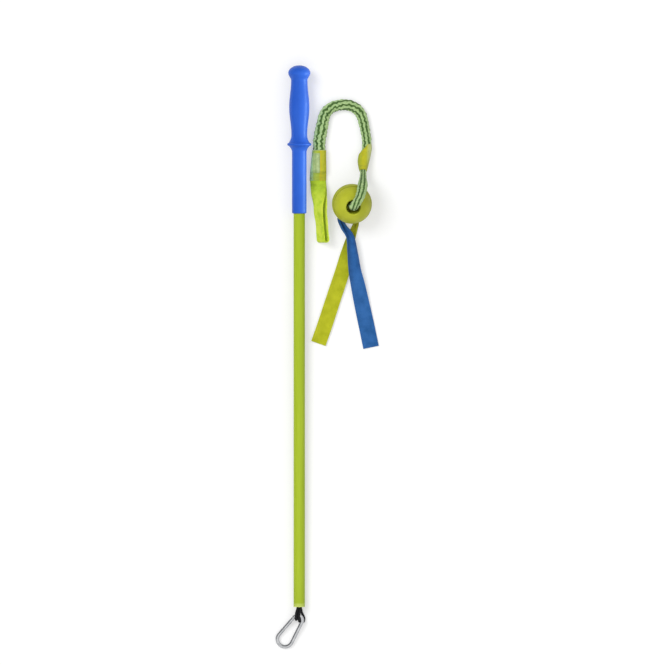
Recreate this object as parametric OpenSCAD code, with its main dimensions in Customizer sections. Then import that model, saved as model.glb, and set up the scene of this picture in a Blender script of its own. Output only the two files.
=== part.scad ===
// A dog flirt pole laid out flat: a gripped tube with a cord and a snap hook at its tip, and beside it
// the lure that clips on, a webbing loop and a bungee that end in a rubber ball with two streamers.
// Sizes are in millimetres. The floor is z = 0, and the pole lies along Y with its grip at +Y.

/* [Pole] */
// Length of the pole from the grip's crown to the tip
pole_len = 856; // [760:1:1000]
// Outer diameter of the tube
tube_d = 18; // [16:0.5:20]
// Wall of the tube
tube_wall = 1.6; // [1:0.1:2]
// Length of each plug inside the tube
plug_len = 22; // [14:1:40]
// Thickness of the plugs' flanges
flange_h = 2; // [1:0.5:4]
// Diameter of the cord's hole through the tip plug
cord_hole_d = 11.4; // [11:0.1:12]

/* [Grip] */
// Length of the grip from its crown to the end of its sleeve
grip_len = 234; // [200:1:300]
// Widest diameter of the pommel
pommel_d = 35; // [30:0.5:42]
// Diameter of the neck under the pommel
neck_d = 26; // [24:0.5:29]
// Diameter of the swell that fills the palm
swell_d = 32; // [28:0.5:36]
// Diameter of the wrist above the guard
wrist_d = 25; // [24:0.5:29]
// Diameter of the guard
guard_d = 38; // [34:0.5:46]
// Thickness of the guard's rim
rim_t = 5; // [3:0.5:7]
// Distance of the guard's rim from the crown
guard_at = 125; // [110:1:150]
// Diameter of the long sleeve below the guard
sleeve_d = 23; // [22:0.5:26]
// Thickness of the crown above the tube
crown_wall = 11; // [6:0.5:16]

/* [Tip cord] */
// Diameter of the cord
cord_d = 3.8; // [3:0.1:3.9]
// Length of the knot that holds the cord in the tube
knot_len = 12; // [8:0.5:20]

/* [Snap hook] */
// Diameter of the hook's wire
wire_d = 6; // [5:0.25:6.5]
// Radius of the narrow bend at the middle of the wire
narrow_r = 7.5; // [7.5:0.1:9]
// Radius of the wide bend at the middle of the wire
wide_r = 12; // [11:0.25:16]
// Distance between the centres of the two bends
bend_pitch = 36; // [34:0.5:48]
// Distance from the tube's tip to the narrow bend's centre
hook_reach = 21; // [20:0.5:26]
// Sideways distance from the pole's axis to the narrow bend's centre
hook_aside = 2.8; // [0:0.1:4]
// Angle that the hook leans from the pole's line
hook_lean = 33.7; // [0:0.1:50]
// Distance of the gate's pivot from the narrow bend
pivot_at = 4.4; // [4.2:0.1:6]
// Length of the gate from its pivot to its nose
gate_len = 20.8; // [19:0.1:23]
// Thickness of the tongue that the gate's fork straddles
tongue_t = 2.2; // [1.6:0.1:2.6]
// Diameter of the rivet that the gate turns on
rivet_d = 2; // [1.6:0.1:2.4]
// Diameter of the latch pin at the gate's nose
latch_d = 1.4; // [1:0.1:1.6]
// Diameter of the plunger inside the gate
plunger_d = 2.6; // [2.4:0.1:2.8]
// Length of the plunger
plunger_len = 3.4; // [2.5:0.1:5]
// Diameter of the spring's wire
spring_wire_d = 0.44; // [0.3:0.02:0.5]
// Length of the spring
spring_len = 8.5; // [7:0.1:9]
// Curls of the spring
spring_curls = 8; // [5:1:8]

/* [Hand loop] */
// Width of the webbing
webbing_w = 25; // [20:0.5:30]
// Thickness of the webbing
webbing_t = 1.8; // [1.2:0.1:2.4]
// Length of the loop from the seam to its fold
loop_len = 97; // [70:1:140]
// Clear distance between the loop's two layers
loop_gap = 6; // [4:0.5:12]
// Angle that the loop is twisted by
loop_twist = 60; // [0:1:65]
// Sideways drift of the loop's fold from the seam
loop_drift = 8; // [0:0.5:16]

/* [Sleeves] */
// Length of the sleeve that joins the loop to the bungee
cuff_len = 48; // [40:1:60]
// Width of that sleeve at the bungee
cuff_w = 22.5; // [21:0.5:25]
// Width of that sleeve at the loop's seam
seam_w = 26; // [24:0.5:30]
// Thickness of that sleeve
cuff_t = 12; // [12:0.5:16]
// Thickness of that sleeve at the seam
seam_t = 6; // [6:0.5:8]
// Length of the sewn band at the seam
band_len = 8; // [6:0.5:12]
// Length of the blank label
label_len = 28; // [16:0.5:30]
// Width of the blank label
label_w = 10; // [6:0.5:12]
// Thickness of the blank label
label_t = 0.6; // [0.4:0.1:1]
// Width of the leaf-shaped sleeve at its middle
leaf_w = 19; // [17.5:0.5:24]
// Thickness of the leaf-shaped sleeve
leaf_t = 12.5; // [12:0.5:16]
// Length of one stitch
stitch_len = 2.6; // [1.5:0.1:3]
// Width and height of one stitch
stitch_w = 0.7; // [0.4:0.1:1]

/* [Bungee] */
// Width of the gathered cover
cover_w = 17.5; // [16:0.5:19]
// Thickness of the gathered cover
cover_t = 11.5; // [10:0.5:12]
// Wall of the cover
cover_wall = 2.2; // [1.5:0.1:2.5]
// Depth of the gathers
gather_depth = 0.9; // [0.4:0.1:1.2]
// Distance from gather to gather
gather_pitch = 12.6; // [10:0.1:18]
// Diameter of the elastic core
core_d = 5; // [3:0.1:5.4]

/* [Ball] */
// Diameter of the ball
ball_d = 63.2; // [58:0.1:64]
// Diameter of the ball's mouth
mouth_d = 22; // [20:0.5:24]
// Diameter of the hole through the ball's web
web_hole_d = 15.4; // [15:0.1:18]
// Thickness of the web that the stop knot bears on
web_t = 6; // [4:0.5:9]
// Diameter of the pocket that holds the stop knot
pocket_d = 25; // [23.5:0.5:28]
// Diameter of the stop knot
stop_d = 21; // [18:0.5:22.5]
// Length of the stop knot
stop_len = 16; // [12:0.5:18]
// Width of the groove round the ball
groove_w = 2; // [1:0.1:3]
// Distance of the groove above the ball's middle
groove_up = 10; // [0:0.5:14]
// Angle that the ball's mouth leans
ball_lean = 12; // [8:0.5:14]

/* [Streamers] */
// Length of each streamer
streamer_len = 230; // [180:1:300]
// Width of each streamer
streamer_w = 25; // [20:0.5:30]
// Thickness of each streamer
streamer_t = 1.8; // [1.2:0.1:2.4]
// Diameter of the sewn end that the streamers hang on
tack_d = 6.4; // [5:0.1:8]

/* [Hidden] */
$fn = 64;

// Clearances: fixed joints, running fits, soft pieces beside their neighbours, and the overrun of cuts
glue_gap = 0.1;
run_gap = 0.06;
soft_gap = 0.3;
over = 1;

// The pole's place: its tip and its guard both touch the floor
pole_x = -44;
tip_y = -395;
tube_r = tube_d / 2;
tube_in_r = tube_r - tube_wall;
guard_up = pole_len - guard_at;
pole_tilt = atan2(guard_d / 2 - tube_r, guard_up);
tip_z = tube_r * cos(pole_tilt);
pole_tip = [pole_x, tip_y, tip_z];
pole_line = [0, cos(pole_tilt), sin(pole_tilt)];
tube_top = pole_len - crown_wall - flange_h;

// The grip's stations, as shares of the distance from the crown to the guard
pommel_share = 0.098;
neck_share = 0.192;
swell_share = 0.53;
wrist_share = 0.88;
taper_share = 1.1;
// The grip's sleeve end is rounded by this share of its own wall
sleeve_round_share = 0.7;
sleeve_round = (sleeve_d / 2 - tube_r) * sleeve_round_share;

// The hook's place: the wire crosses the tip's height, and the wide bend rests on the floor
// Its bends are a hair thicker than the straight wire, which runs a little way into them
wire_r = wire_d / 2;
bend_step = 0.03;
join_len = 0.3;
bend_r = wire_r + bend_step;
hook_tip = asin((tip_z - bend_r) / (bend_pitch + wide_r + narrow_r));
hook_centre = [pole_x - hook_aside, tip_y - hook_reach, tip_z - narrow_r * sin(hook_tip)];
arm_flare = asin((wide_r - narrow_r) / bend_pitch);
arm_len = bend_pitch * cos(arm_flare);

// The gate: a fork round the tongue, a plunger on the tongue's cam, and a latch at the nose
nose_at = pivot_at + gate_len;
nose_gap = 0.5;
cam_r = 2.2;
cam_off = 0.8;
fork_depth = cam_r + cam_off + soft_gap;
plunger_at = pivot_at + cam_r + run_gap;
plunger_bore_d = plunger_d + 2 * run_gap;
spring_at = plunger_at + plunger_len;
spring_r = plunger_d / 2 - spring_wire_d / 2 - run_gap;
bore_end = spring_at + spring_len + soft_gap;
latch_back = 2;
latch_slot = 4;
claw_t = 1.4;
claw_low = 2;
claw_high = 1.6;
claw_len = 3.4;
stub_back = wire_r + nose_gap;

// The cord's two strands pass side by side over the wire and into the hook's eye
cord_r = cord_d / 2;
strand_gap = 0.4;
strand_x = cord_r + strand_gap / 2;
wrap_gap = 0.5;
wrap_z = wire_r + cord_r + wrap_gap;
wrap_end = 0.8;
// The left strand goes back under the wire, the right one under the wire's right side and up beside it
under_shares = [[108, -0.62, -0.8], [106, 0, -1.02], [104, 0.7, -0.9]];
round_shares = [[0, -0.72, -0.72], [-16, 0, -1.02], [-2, 0.2, -1], [15, 0.38, -0.95], [36, 0.54, -0.87],
    [62, 1, -0.5]];

// The bungee's two routes, from the cuff to the leaf-shaped sleeve and on over the ball into its mouth
upper_route = [[-12.5, 327, 6.5], [-12.3, 341, 6.5], [-10, 355, 6.5], [-7.5, 367, 6.5], [-5.5, 377, 6.5],
    [-2, 386, 6.5], [6, 393.5, 6.5], [16.5, 397.5, 6.5], [28, 398.5, 6.5], [38.5, 396.5, 6.5], [47.5, 391, 6.5],
    [54, 382, 6.5], [58, 368, 6.5], [60.8, 354, 6.5], [62.5, 344, 6.5], [62.5, 337, 6.5]];
leaf_route = [[62.5, 336.4, 6.5], [62.5, 330, 6.5], [60, 321, 7], [57.5, 310, 8.5], [57, 301, 11], [57, 294, 15]];
lower_route = [[57, 293.7, 15.2], [57, 287, 19], [56.6, 280.5, 27.5], [56.5, 277.3, 39], [56, 270.3, 58],
    [54, 259.5, 69.2], [50.4, 250, 75], [45.8, 241.8, 77], [42.5, 236, 72], [41.7, 236, 63.5], [40.8, 238.5, 53.5],
    [39.5, 241.5, 38], [38.9, 242.7, 31.7]];
// Width of the lower bungee at each of its points, as shares of the cover's width
lower_width_shares = [0.66, 0.72, 0.8, 0.9, 0.97, 1, 0.95, 0.9, 0.85, 0.8, 0.78, 0.76, 0.74];
// Width of the upper bungee at evenly spaced places, as shares of the cover's width
upper_width_shares = [1.12, 1.16, 1.1, 1.02, 1, 1, 0.95, 0.88, 0.85];
cover_sides = 8;

// The ball's place: its pocket's rim rests on the two streamers
ball_x = 39.2;
ball_y = 242;
ball_turn = -66;
ball_r = ball_d / 2;
pocket_r = pocket_d / 2;
pocket_reach = sqrt(ball_r * ball_r - pocket_r * pocket_r);
streamer_stack = 2 * streamer_t + 3 * soft_gap;
ball_z = pocket_reach * cos(ball_lean) + pocket_r * sin(ball_lean) + streamer_stack;
ball_centre = [ball_x, ball_y, ball_z];
ball_axis = [sin(ball_lean) * cos(ball_turn), sin(ball_lean) * sin(ball_turn), cos(ball_lean)];
web_low = -web_t * 2 / 3;
stop_top = web_low - soft_gap;
lower_end = lower_route[len(lower_route) - 1];
tack_foot = ball_centre - ball_axis * ball_z / cos(ball_lean);

// The streamers' courses from beside the sewn end: shares of their length along the heading and to its
// left, then the width as a share of the streamer's, and the height in layers of the other streamer
blue_heading = 8;
lime_heading = -12.3;
root_r = tack_d / 2 + soft_gap;
blue_shares = [[0, 0, 0.34, 1], [0.041, 0.036, 0.32, 1], [0.099, 0.074, 0.32, 1], [0.166, 0.06, 0.36, 1],
    [0.242, 0.025, 0.46, 1], [0.351, 0.023, 0.63, 1], [0.474, 0.025, 0.79, 1], [0.575, 0.018, 0.9, 1],
    [0.697, 0.01, 0.96, 0.5], [0.86, -0.002, 1, 0], [1.015, -0.012, 1, 0]];
lime_shares = [[0, 0, 0.34, 0], [0.065, -0.038, 0.32, 0], [0.133, -0.066, 0.32, 0], [0.177, -0.064, 0.38, 0],
    [0.258, -0.054, 0.56, 0], [0.365, -0.05, 0.79, 0], [0.478, -0.047, 0.92, 0], [0.695, -0.025, 0.95, 0],
    [0.861, -0.008, 0.96, 0], [1, 0.009, 0.96, 0]];

// The hand loop: twist and opening at evenly spaced places from the seam, as shares of the full ones
twist_shares = [0, 0.28, 0.7, 0.93, 0.98, 1, 0.97];
gape_shares = [0.1, 0.5, 0.85, 1, 1, 1, 1];
loop_rings = 16;
fold_rings = 8;

// The cuff: its places as shares of its length above the band, and its flat top's height
cuff_drift = -2;
cuff_power = 0.4;
cuff_sides = 12;
flat_share = pow(cos(180 / cuff_sides), cuff_power);
cuff_top = upper_route[0] - [0, soft_gap, 0];
cuff_end = cuff_top + [cuff_drift, -cuff_len, 0];
cuff_z = cuff_t / 2 * flat_share;
seam_z = seam_t / 2 * flat_share;
label_from_share = 0.2;
label_side_share = -0.16;
stitch_rows = 2;
seam_stitches = 6;
leaf_stitch_count = 3;
leaf_stitch_shares = [0.12, 0.86];
leaf_width_shares = [0.78, 0.88, 0.97, 1, 0.95, 0.8, 0.62];

// Plain vector and curve helpers
function unit(v) = v / norm(v);
function bow(v, p) = sign(v) * pow(abs(v), p);
function ease(f) = (1 - cos(180 * f)) / 2;
function mix(a, b, f) = a + (b - a) * f;
// A smooth curve through the points of a list, with t from 0 to 1
function curve(p, t) = let (n = len(p) - 1, s = t * n, i = min(floor(s), n - 1), f = s - i,
    a = p[max(i - 1, 0)], b = p[i], c = p[i + 1], d = p[min(i + 2, n)])
    b + (c - a) * f / 2 + (2 * a - 5 * b + 4 * c - d) * f * f / 2 + (3 * b - 3 * c + d - a) * f * f * f / 2;
function heading(p, t, step = 0.01) = unit(curve(p, min(t + step, 1)) - curve(p, max(t - step, 0)));
function route_len(p, steps = 60) = let (q = [for (i = [0 : steps]) curve(p, i / steps)])
    [for (i = [1 : steps]) norm(q[i] - q[i - 1])] * [for (i = [1 : steps]) 1];
// Directions across a route: level where across is zero, or else as near to across as it can be
function across_of(h, across) = norm(across) == 0 ? unit(cross(h, [0, 0, 1])) : unit(across - h * (across * h));
// One oval ring round a point
function ring(c, side, rise, half_w, half_t, sides, power = 1) = [for (i = [0 : sides - 1])
    let (a = 360 * (i + 0.5) / sides) c + side * half_w * bow(cos(a), power) + rise * half_t * bow(sin(a), power)];
function course_ring(p, t, across, half_w, half_t, sides, power = 1) = let (h = heading(p, t),
    s = across_of(h, across)) ring(curve(p, t), s, cross(s, h), half_w, half_t, sides, power);

// A closed skin over rings of equal length
module skin(rings) {
    n = len(rings[0]);
    last = len(rings) - 1;
    points = [for (r = rings) each r];
    walls = [for (k = [0 : last - 1], i = [0 : n - 1]) let (j = (i + 1) % n)
        each [[k * n + i, k * n + j, (k + 1) * n + j], [k * n + i, (k + 1) * n + j, (k + 1) * n + i]]];
    caps = [for (i = [1 : n - 2]) each [[0, i + 1, i], [last * n, last * n + i, last * n + i + 1]]];
    polyhedron(points, concat(walls, caps));
}

// A hollow skin between outer and inner rings
module pipe_skin(outer, inner) {
    n = len(outer[0]);
    last = len(outer) - 1;
    all = n * len(outer);
    points = concat([for (r = outer) each r], [for (r = inner) each r]);
    walls = [for (k = [0 : last - 1], i = [0 : n - 1]) let (j = (i + 1) % n, a = k * n + i, b = k * n + j,
        c = a + n, d = b + n) each [[a, b, d], [a, d, c], [all + a, all + d, all + b], [all + a, all + c, all + d]]];
    ends = [for (i = [0 : n - 1]) let (j = (i + 1) % n, e = last * n) each [[i, all + i, j], [j, all + i, all + j],
        [e + i, e + j, all + e + i], [e + j, all + e + j, all + e + i]]];
    polyhedron(points, concat(walls, ends));
}

// Frames of the pole, the hook and the hook's two arms
module on_pole() {
    translate(pole_tip) rotate([pole_tilt - 90, 0, 0]) children();
}

module on_hook() {
    translate(hook_centre) rotate([0, 0, -90 - hook_lean]) rotate([0, hook_tip, 0]) children();
}

module on_arm(side) {
    translate([-narrow_r * sin(arm_flare), side * narrow_r * cos(arm_flare), 0]) rotate([0, 0, side * arm_flare])
        children();
}

module rod(from, to, d) {
    translate([from, 0, 0]) rotate([0, 90, 0]) cylinder(d = d, h = to - from);
}

module on_ball() {
    translate(ball_centre) rotate([0, 0, ball_turn]) rotate([0, ball_lean, 0]) children();
}

// The grip's outline, as distance from the crown and radius
function dome_points(steps = 9) = [for (i = [0 : steps - 1]) let (a = 90 * i / steps)
    [guard_at * pommel_share * (1 - cos(a)), pommel_d / 2 * sin(a)]];
function waist_points(steps = 8) = let (at = [pommel_share, neck_share, swell_share, wrist_share] * guard_at,
    r = [pommel_d, neck_d, swell_d, wrist_d] / 2) [for (k = [0 : len(at) - 2], i = [0 : steps - 1])
    [mix(at[k], at[k + 1], i / steps), mix(r[k], r[k + 1], ease(i / steps))]];
function guard_points(steps = 6) = let (root = guard_d / 2 - rim_t / 2, top = guard_at - rim_t / 2,
    low = guard_at + rim_t / 2, wrist = guard_at * wrist_share, sleeve = guard_at * taper_share) concat(
    [for (i = [0 : steps - 1]) let (f = i / steps) [mix(wrist, top, f), mix(wrist_d / 2, root, f * f)]],
    [for (i = [0 : steps]) let (b = 180 * i / steps) [guard_at - rim_t / 2 * cos(b), root + rim_t / 2 * sin(b)]],
    [for (i = [1 : steps]) let (f = 1 - i / steps) [mix(sleeve, low, f), mix(sleeve_d / 2, root, f * f)]]);
function sleeve_points(steps = 4) = [for (i = [0 : steps]) let (a = 90 * i / steps)
    [grip_len - sleeve_round * (1 - sin(a)), sleeve_d / 2 - sleeve_round * (1 - cos(a))]];

module grip() {
    bore = tube_r + glue_gap;
    inside = [[grip_len, bore], [crown_wall, bore], [crown_wall, 0]];
    outline = concat(dome_points(), waist_points(), guard_points(), sleeve_points(), inside);
    color("royalblue") on_pole() rotate_extrude() polygon([for (p = outline) [p[1], pole_len - p[0]]]);
}

module pole_tube() {
    color("yellowgreen") on_pole() translate([0, 0, flange_h]) difference() {
        cylinder(r = tube_r, h = tube_top - flange_h);
        translate([0, 0, -over]) cylinder(r = tube_in_r, h = tube_top - flange_h + 2 * over);
    }
}

module top_plug() {
    color("yellowgreen") on_pole() translate([0, 0, tube_top - plug_len]) {
        cylinder(r = tube_in_r - glue_gap, h = plug_len);
        translate([0, 0, plug_len]) cylinder(r = tube_r, h = flange_h);
    }
}

module tip_plug() {
    color("yellowgreen") on_pole() difference() {
        union() {
            cylinder(r = tube_r, h = flange_h);
            translate([0, 0, flange_h]) cylinder(r = tube_in_r - glue_gap, h = plug_len);
        }
        translate([0, 0, -over]) cylinder(d = cord_hole_d, h = flange_h + plug_len + 2 * over);
    }
}

module cord_knot() {
    r = tube_in_r - soft_gap;
    color("black") on_pole() translate([0, 0, flange_h + plug_len]) intersection() {
        translate([0, 0, knot_len - r]) sphere(r = r);
        cylinder(r = r, h = knot_len);
    }
}

// A place beside the narrow bend's wire: an angle about the bend, then steps outwards and upwards
// as shares of the distance that keeps a strand clear of the wire
function by_wire(s) = let (clear = wire_r + cord_r + wrap_gap, r = narrow_r + s[1] * clear) hook_centre +
    [r * cos(s[0]), r * sin(s[0]), s[2] * clear - narrow_r * sin(hook_tip) * cos(s[0] + 90 + hook_lean)];

// One strand of the cord: out of the plug, over the wire into the hook's eye, and back to the plug
function strand_route(x, back) = let (side = [x, 0, 0], layer = [0, 0, strand_x], drop = sqrt(narrow_r * narrow_r -
    x * x), wire = hook_centre + side + [0, drop, tip_z - hook_centre[2]], mouth = pole_tip + side,
    inner = mouth + pole_line * (flange_h + plug_len - soft_gap), half = mix(inner, mouth, 1 / 2), turn =
    [for (a = [0 : 30 : 90]) wire + [0, (wrap_end - drop) * sin(a), wrap_z * cos(a)]], home = [for (s = back)
    by_wire(s)]) concat([inner + layer, half + layer, mouth + layer, mix(mouth + layer, turn[0], 1 / 2)], turn, home,
    [mix(home[len(home) - 1], mouth - layer, 1 / 2), mouth - layer, half - layer, inner - layer]);

module tip_cord(rings = 44) {
    color("black") for (p = [strand_route(-strand_x, under_shares), strand_route(strand_x, round_shares)])
        skin([for (i = [0 : rings]) course_ring(p, i / rings, [1, 0, 1], cord_r, cord_r, cover_sides)]);
}

module hook_body() {
    color("silver") on_hook() {
        rotate([0, 0, 90 + arm_flare]) rotate_extrude(angle = 180 - 2 * arm_flare) translate([narrow_r, 0])
            circle(r = bend_r);
        translate([bend_pitch, 0, 0]) rotate([0, 0, -90 - arm_flare]) rotate_extrude(angle = 180 + 2 * arm_flare)
            translate([wide_r, 0]) circle(r = bend_r);
        on_arm(1) rod(-join_len, arm_len + join_len, wire_d);
        on_arm(-1) {
            rod(nose_at, arm_len + join_len, wire_d);
            rod(-join_len, pivot_at - stub_back, wire_d);
            tongue();
            claw();
        }
    }
}

// The flat tongue that carries the rivet, with its cam end
module tongue() {
    translate([0, 0, -tongue_t / 2]) linear_extrude(tongue_t) difference() {
        union() {
            translate([pivot_at, cam_off]) circle(r = cam_r);
            translate([0, cam_off - cam_r]) square([pivot_at, 2 * cam_r]);
        }
        translate([pivot_at, 0]) circle(d = rivet_d + 2 * run_gap);
    }
}

// The claw that the latch pin drops into, open towards the inside of the hook
module claw() {
    slot = latch_d + 2 * soft_gap;
    pin_at = nose_at - nose_gap - latch_back;
    translate([0, 0, -claw_t / 2]) linear_extrude(claw_t) difference() {
        translate([nose_at - claw_len, -claw_low]) square([claw_len + over, claw_low + claw_high]);
        translate([pin_at, 0]) circle(d = slot);
        translate([pin_at - slot / 2, 0]) square([slot, claw_high + over]);
    }
}

module hook_gate() {
    end = nose_at - nose_gap;
    fork_t = tongue_t + 2 * soft_gap;
    slot_t = claw_t + 2 * soft_gap;
    color("gainsboro") on_hook() on_arm(-1) difference() {
        intersection() {
            rod(pivot_at - wire_r, end, wire_d);
            union() {
                translate([pivot_at, 0, -wire_d]) cylinder(r = wire_r, h = 2 * wire_d);
                translate([pivot_at, -wire_d, -wire_d]) cube([gate_len, 2 * wire_d, 2 * wire_d]);
            }
        }
        translate([pivot_at - wire_d, -wire_d, -fork_t / 2]) cube([wire_d + fork_depth, 2 * wire_d, fork_t]);
        translate([end - latch_slot, -wire_d, -slot_t / 2]) cube([latch_slot + over, 2 * wire_d, slot_t]);
        rod(pivot_at, bore_end, plunger_bore_d);
        translate([pivot_at, 0, -wire_d]) cylinder(d = rivet_d, h = 2 * wire_d);
        translate([end - latch_back, 0, -wire_d]) cylinder(d = latch_d, h = 2 * wire_d);
    }
}

module cross_pin(at, d) {
    on_hook() on_arm(-1) translate([at, 0, -wire_r]) cylinder(d = d, h = wire_d);
}

module gate_rivet() {
    color("silver") cross_pin(pivot_at, rivet_d);
}

module latch_pin() {
    color("silver") cross_pin(nose_at - nose_gap - latch_back, latch_d);
}

module gate_plunger() {
    color("silver") on_hook() on_arm(-1) rod(plunger_at, plunger_at + plunger_len, plunger_d);
}

// The spring's line inside the gate, one turn for each curl
function spring_point(t) = let (a = 360 * spring_curls * t)
    [spring_at + spring_wire_d / 2 + (spring_len - spring_wire_d) * t, spring_r * cos(a), spring_r * sin(a)];
spring_steps = 8 * spring_curls;
spring_gap = (spring_len - spring_wire_d) / spring_curls - spring_wire_d;
echo(least_spring_gap = spring_gap);

module gate_spring() {
    line = [for (i = [0 : spring_steps]) spring_point(i / spring_steps)];
    color("dimgray") on_hook() on_arm(-1) skin([for (i = [0 : spring_steps]) let (p = line[i],
        h = unit(line[min(i + 1, spring_steps)] - line[max(i - 1, 0)]), out = unit([0, p[1], p[2]]),
        s = unit(out - h * (out * h))) ring(p, s, cross(s, h), spring_wire_d / 2, spring_wire_d / 2, 6)]);
}

// A webbing band through places, each with its way across and its way out of the face
function band_ring(c, across, out, half_w, half_t) = [c + across * half_w + out * half_t,
    c - across * half_w + out * half_t, c - across * half_w - out * half_t, c + across * half_w - out * half_t];

// The hand loop's middle line drifts and rises from the seam, and the band twists about it
seam_start = cuff_end + [0, -soft_gap, seam_z - cuff_end[2]];
function loop_roll(t) = loop_twist * curve(twist_shares, t);
function loop_half(t) = (loop_gap * curve(gape_shares, t) + webbing_t) / 2;
function loop_low(t) = (webbing_w / 2) * sin(loop_roll(t)) + (loop_half(t) + webbing_t / 2) * cos(loop_roll(t));
function loop_mid(t) = [seam_start[0] + loop_drift * t, seam_start[1] - (loop_len - loop_half(1)) * t,
    max(loop_low(t), mix(seam_z, loop_low(t), min(t * 4, 1)))];
function loop_ring(t, lift, turn = 0) = let (roll = loop_roll(t), across = [cos(roll), 0, sin(roll)],
    up = [-sin(roll), 0, cos(roll)], out = up * cos(turn) + [0, -1, 0] * sin(turn))
    band_ring(loop_mid(t) + out * lift, across, out, webbing_w / 2, webbing_t / 2);

module hand_loop() {
    top = [for (i = [0 : loop_rings]) loop_ring(i / loop_rings, loop_half(i / loop_rings))];
    fold = [for (i = [1 : fold_rings - 1]) loop_ring(1, loop_half(1), 180 * i / fold_rings)];
    back = [for (i = [loop_rings : -1 : 0]) loop_ring(i / loop_rings, loop_half(i / loop_rings), 180)];
    color("greenyellow") skin(concat(top, fold, back));
}

// The cuff runs from the bungee to the seam, where it is sewn flat
module loop_cuff() {
    flat = 1 - band_len / cuff_len;
    ends = [[0, cuff_w, cuff_t], [flat / 2, mix(cuff_w, seam_w, flat / 2), cuff_t],
        [flat - band_len / cuff_len, mix(cuff_w, seam_w, flat), cuff_t], [flat, seam_w, seam_t], [1, seam_w, seam_t]];
    color("darkkhaki") skin([for (e = ends) ring([cuff_top[0] + cuff_drift * e[0], cuff_top[1] - cuff_len * e[0],
        e[2] / 2 * flat_share], [-1, 0, 0], [0, 0, 1], e[1] / 2, e[2] / 2, cuff_sides, cuff_power)]);
}

module blank_label() {
    color("gainsboro") translate([cuff_top[0] + label_side_share * cuff_w - label_w / 2,
        cuff_top[1] - label_from_share * cuff_len / 2 - label_len, 2 * cuff_z]) cube([label_w, label_len, label_t]);
}

module cuff_stitches() {
    pitch = seam_w * flat_share * 2 / 3 / seam_stitches;
    color("olive") for (row = [0 : stitch_rows - 1], i = [0 : seam_stitches - 1]) translate([cuff_end[0] +
        pitch * (i - (seam_stitches - 1) / 2) - stitch_len / 2, cuff_end[1] + band_len * (row + 1) / 3 - stitch_w / 2,
        2 * seam_z]) cube([stitch_len, stitch_w, stitch_w]);
}

// A gathered cover along a route, with its bore, and the elastic core in it
function gathers(p) = round(route_len(p) / gather_pitch);
function puff(i, last) = i <= 1 || i >= last - 1 ? 0 : (i % 2) * gather_depth;
function cover_rings(p, shares, across, inset, wave) = let (last = 2 * gathers(p)) [for (i = [0 : last])
    let (t = i / last, cut = inset + wave * puff(i, last)) course_ring(p, t, across,
    cover_w * curve(shares, t) / 2 - cut, cover_t / 2 - cut, cover_sides)];

module cover(p, shares, across) {
    outer = cover_rings(p, shares, across, 0, 1);
    inner = [for (i = [0 : len(outer) - 1]) course_ring(p, i / (len(outer) - 1), across,
        core_d / 2 + soft_gap, core_d / 2 + soft_gap, cover_sides)];
    color("darkseagreen") pipe_skin(outer, inner);
}

module core(p, across) {
    last = 2 * gathers(p);
    color("ivory") skin([for (i = [0 : last]) course_ring(p, i / last, across, core_d / 2, core_d / 2, cover_sides)]);
}

module upper_cover() {
    cover(upper_route, upper_width_shares, [0, 0, 0]);
}

module upper_core() {
    core(upper_route, [0, 0, 0]);
}

module lower_cover() {
    cover(lower_route, lower_width_shares, [-1, 0, 0]);
}

module lower_core() {
    core(lower_route, [-1, 0, 0]);
}

// The leaf-shaped sleeve over the bungee's sewn joint
module leaf_sleeve() {
    last = len(leaf_width_shares) - 1;
    color("darkkhaki") skin([for (i = [0 : last]) course_ring(leaf_route, i / last, [-1, 0, 0],
        leaf_w * leaf_width_shares[i] / 2, leaf_t / 2, cuff_sides, cuff_power)]);
}

module leaf_stitches() {
    color("olive") for (t = leaf_stitch_shares, i = [0 : leaf_stitch_count - 1]) {
        h = heading(leaf_route, t);
        side = across_of(h, [-1, 0, 0]);
        rise = cross(side, h);
        at = curve(leaf_route, t) + rise * (leaf_t / 2 * flat_share + stitch_w / 2) +
            side * (i - (leaf_stitch_count - 1) / 2) * (stitch_len + stitch_w);
        skin([for (end = [-1, 1]) band_ring(at + side * end * stitch_len / 2, -h, rise, stitch_w / 2, stitch_w / 2)]);
    }
}

module ball() {
    color("olivedrab") on_ball() difference() {
        sphere(r = ball_r);
        translate([0, 0, web_low + web_t]) cylinder(d = mouth_d, h = ball_d);
        translate([0, 0, web_low - over]) cylinder(d = web_hole_d, h = web_t + 2 * over);
        translate([0, 0, web_low - ball_d]) cylinder(d = pocket_d, h = ball_d);
        rotate_extrude() translate([sqrt(ball_r * ball_r - groove_up * groove_up), groove_up]) circle(d = groove_w);
    }
}

module stop_knot() {
    color("darkseagreen") on_ball() translate([0, 0, stop_top - stop_len]) intersection() {
        translate([0, 0, stop_len / 2]) sphere(d = stop_d);
        cylinder(d = stop_d, h = stop_len);
    }
}

// The sewn end stands upright under the knot's lower face
module streamer_tack() {
    face_z = ball_z * (1 + pow(tan(ball_lean), 2)) + (stop_top - stop_len) / cos(ball_lean);
    top = face_z - tack_d / 2 * tan(ball_lean) - glue_gap;
    color("darkgreen") translate([tack_foot[0], tack_foot[1], soft_gap]) cylinder(d = tack_d, h = top - soft_gap);
}

// A streamer lying along its course, gathered at the sewn end and opening to its full width
function streamer_place(s, root, turn) = let (along = [sin(turn), -cos(turn), 0], left = [-cos(turn), -sin(turn), 0])
    [tack_foot[0], tack_foot[1], s[3] * (streamer_t + soft_gap) + streamer_t / 2] +
    unit(along * root[0] + left * root[1]) * root_r + (along * s[0] + left * s[1]) * streamer_len;

module streamer(shares, turn, tint, rings = 24) {
    p = [for (s = shares) streamer_place(s, shares[1], turn)];
    widths = [for (s = shares) s[2] * streamer_w / 2];
    color(tint) skin([for (i = [0 : rings]) let (t = i / rings, side = across_of(heading(p, t), [0, 0, 0]))
        band_ring(curve(p, t), side, [0, 0, 1], curve(widths, t), streamer_t / 2)]);
}

module blue_streamer() {
    streamer(blue_shares, blue_heading, "steelblue");
}

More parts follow.
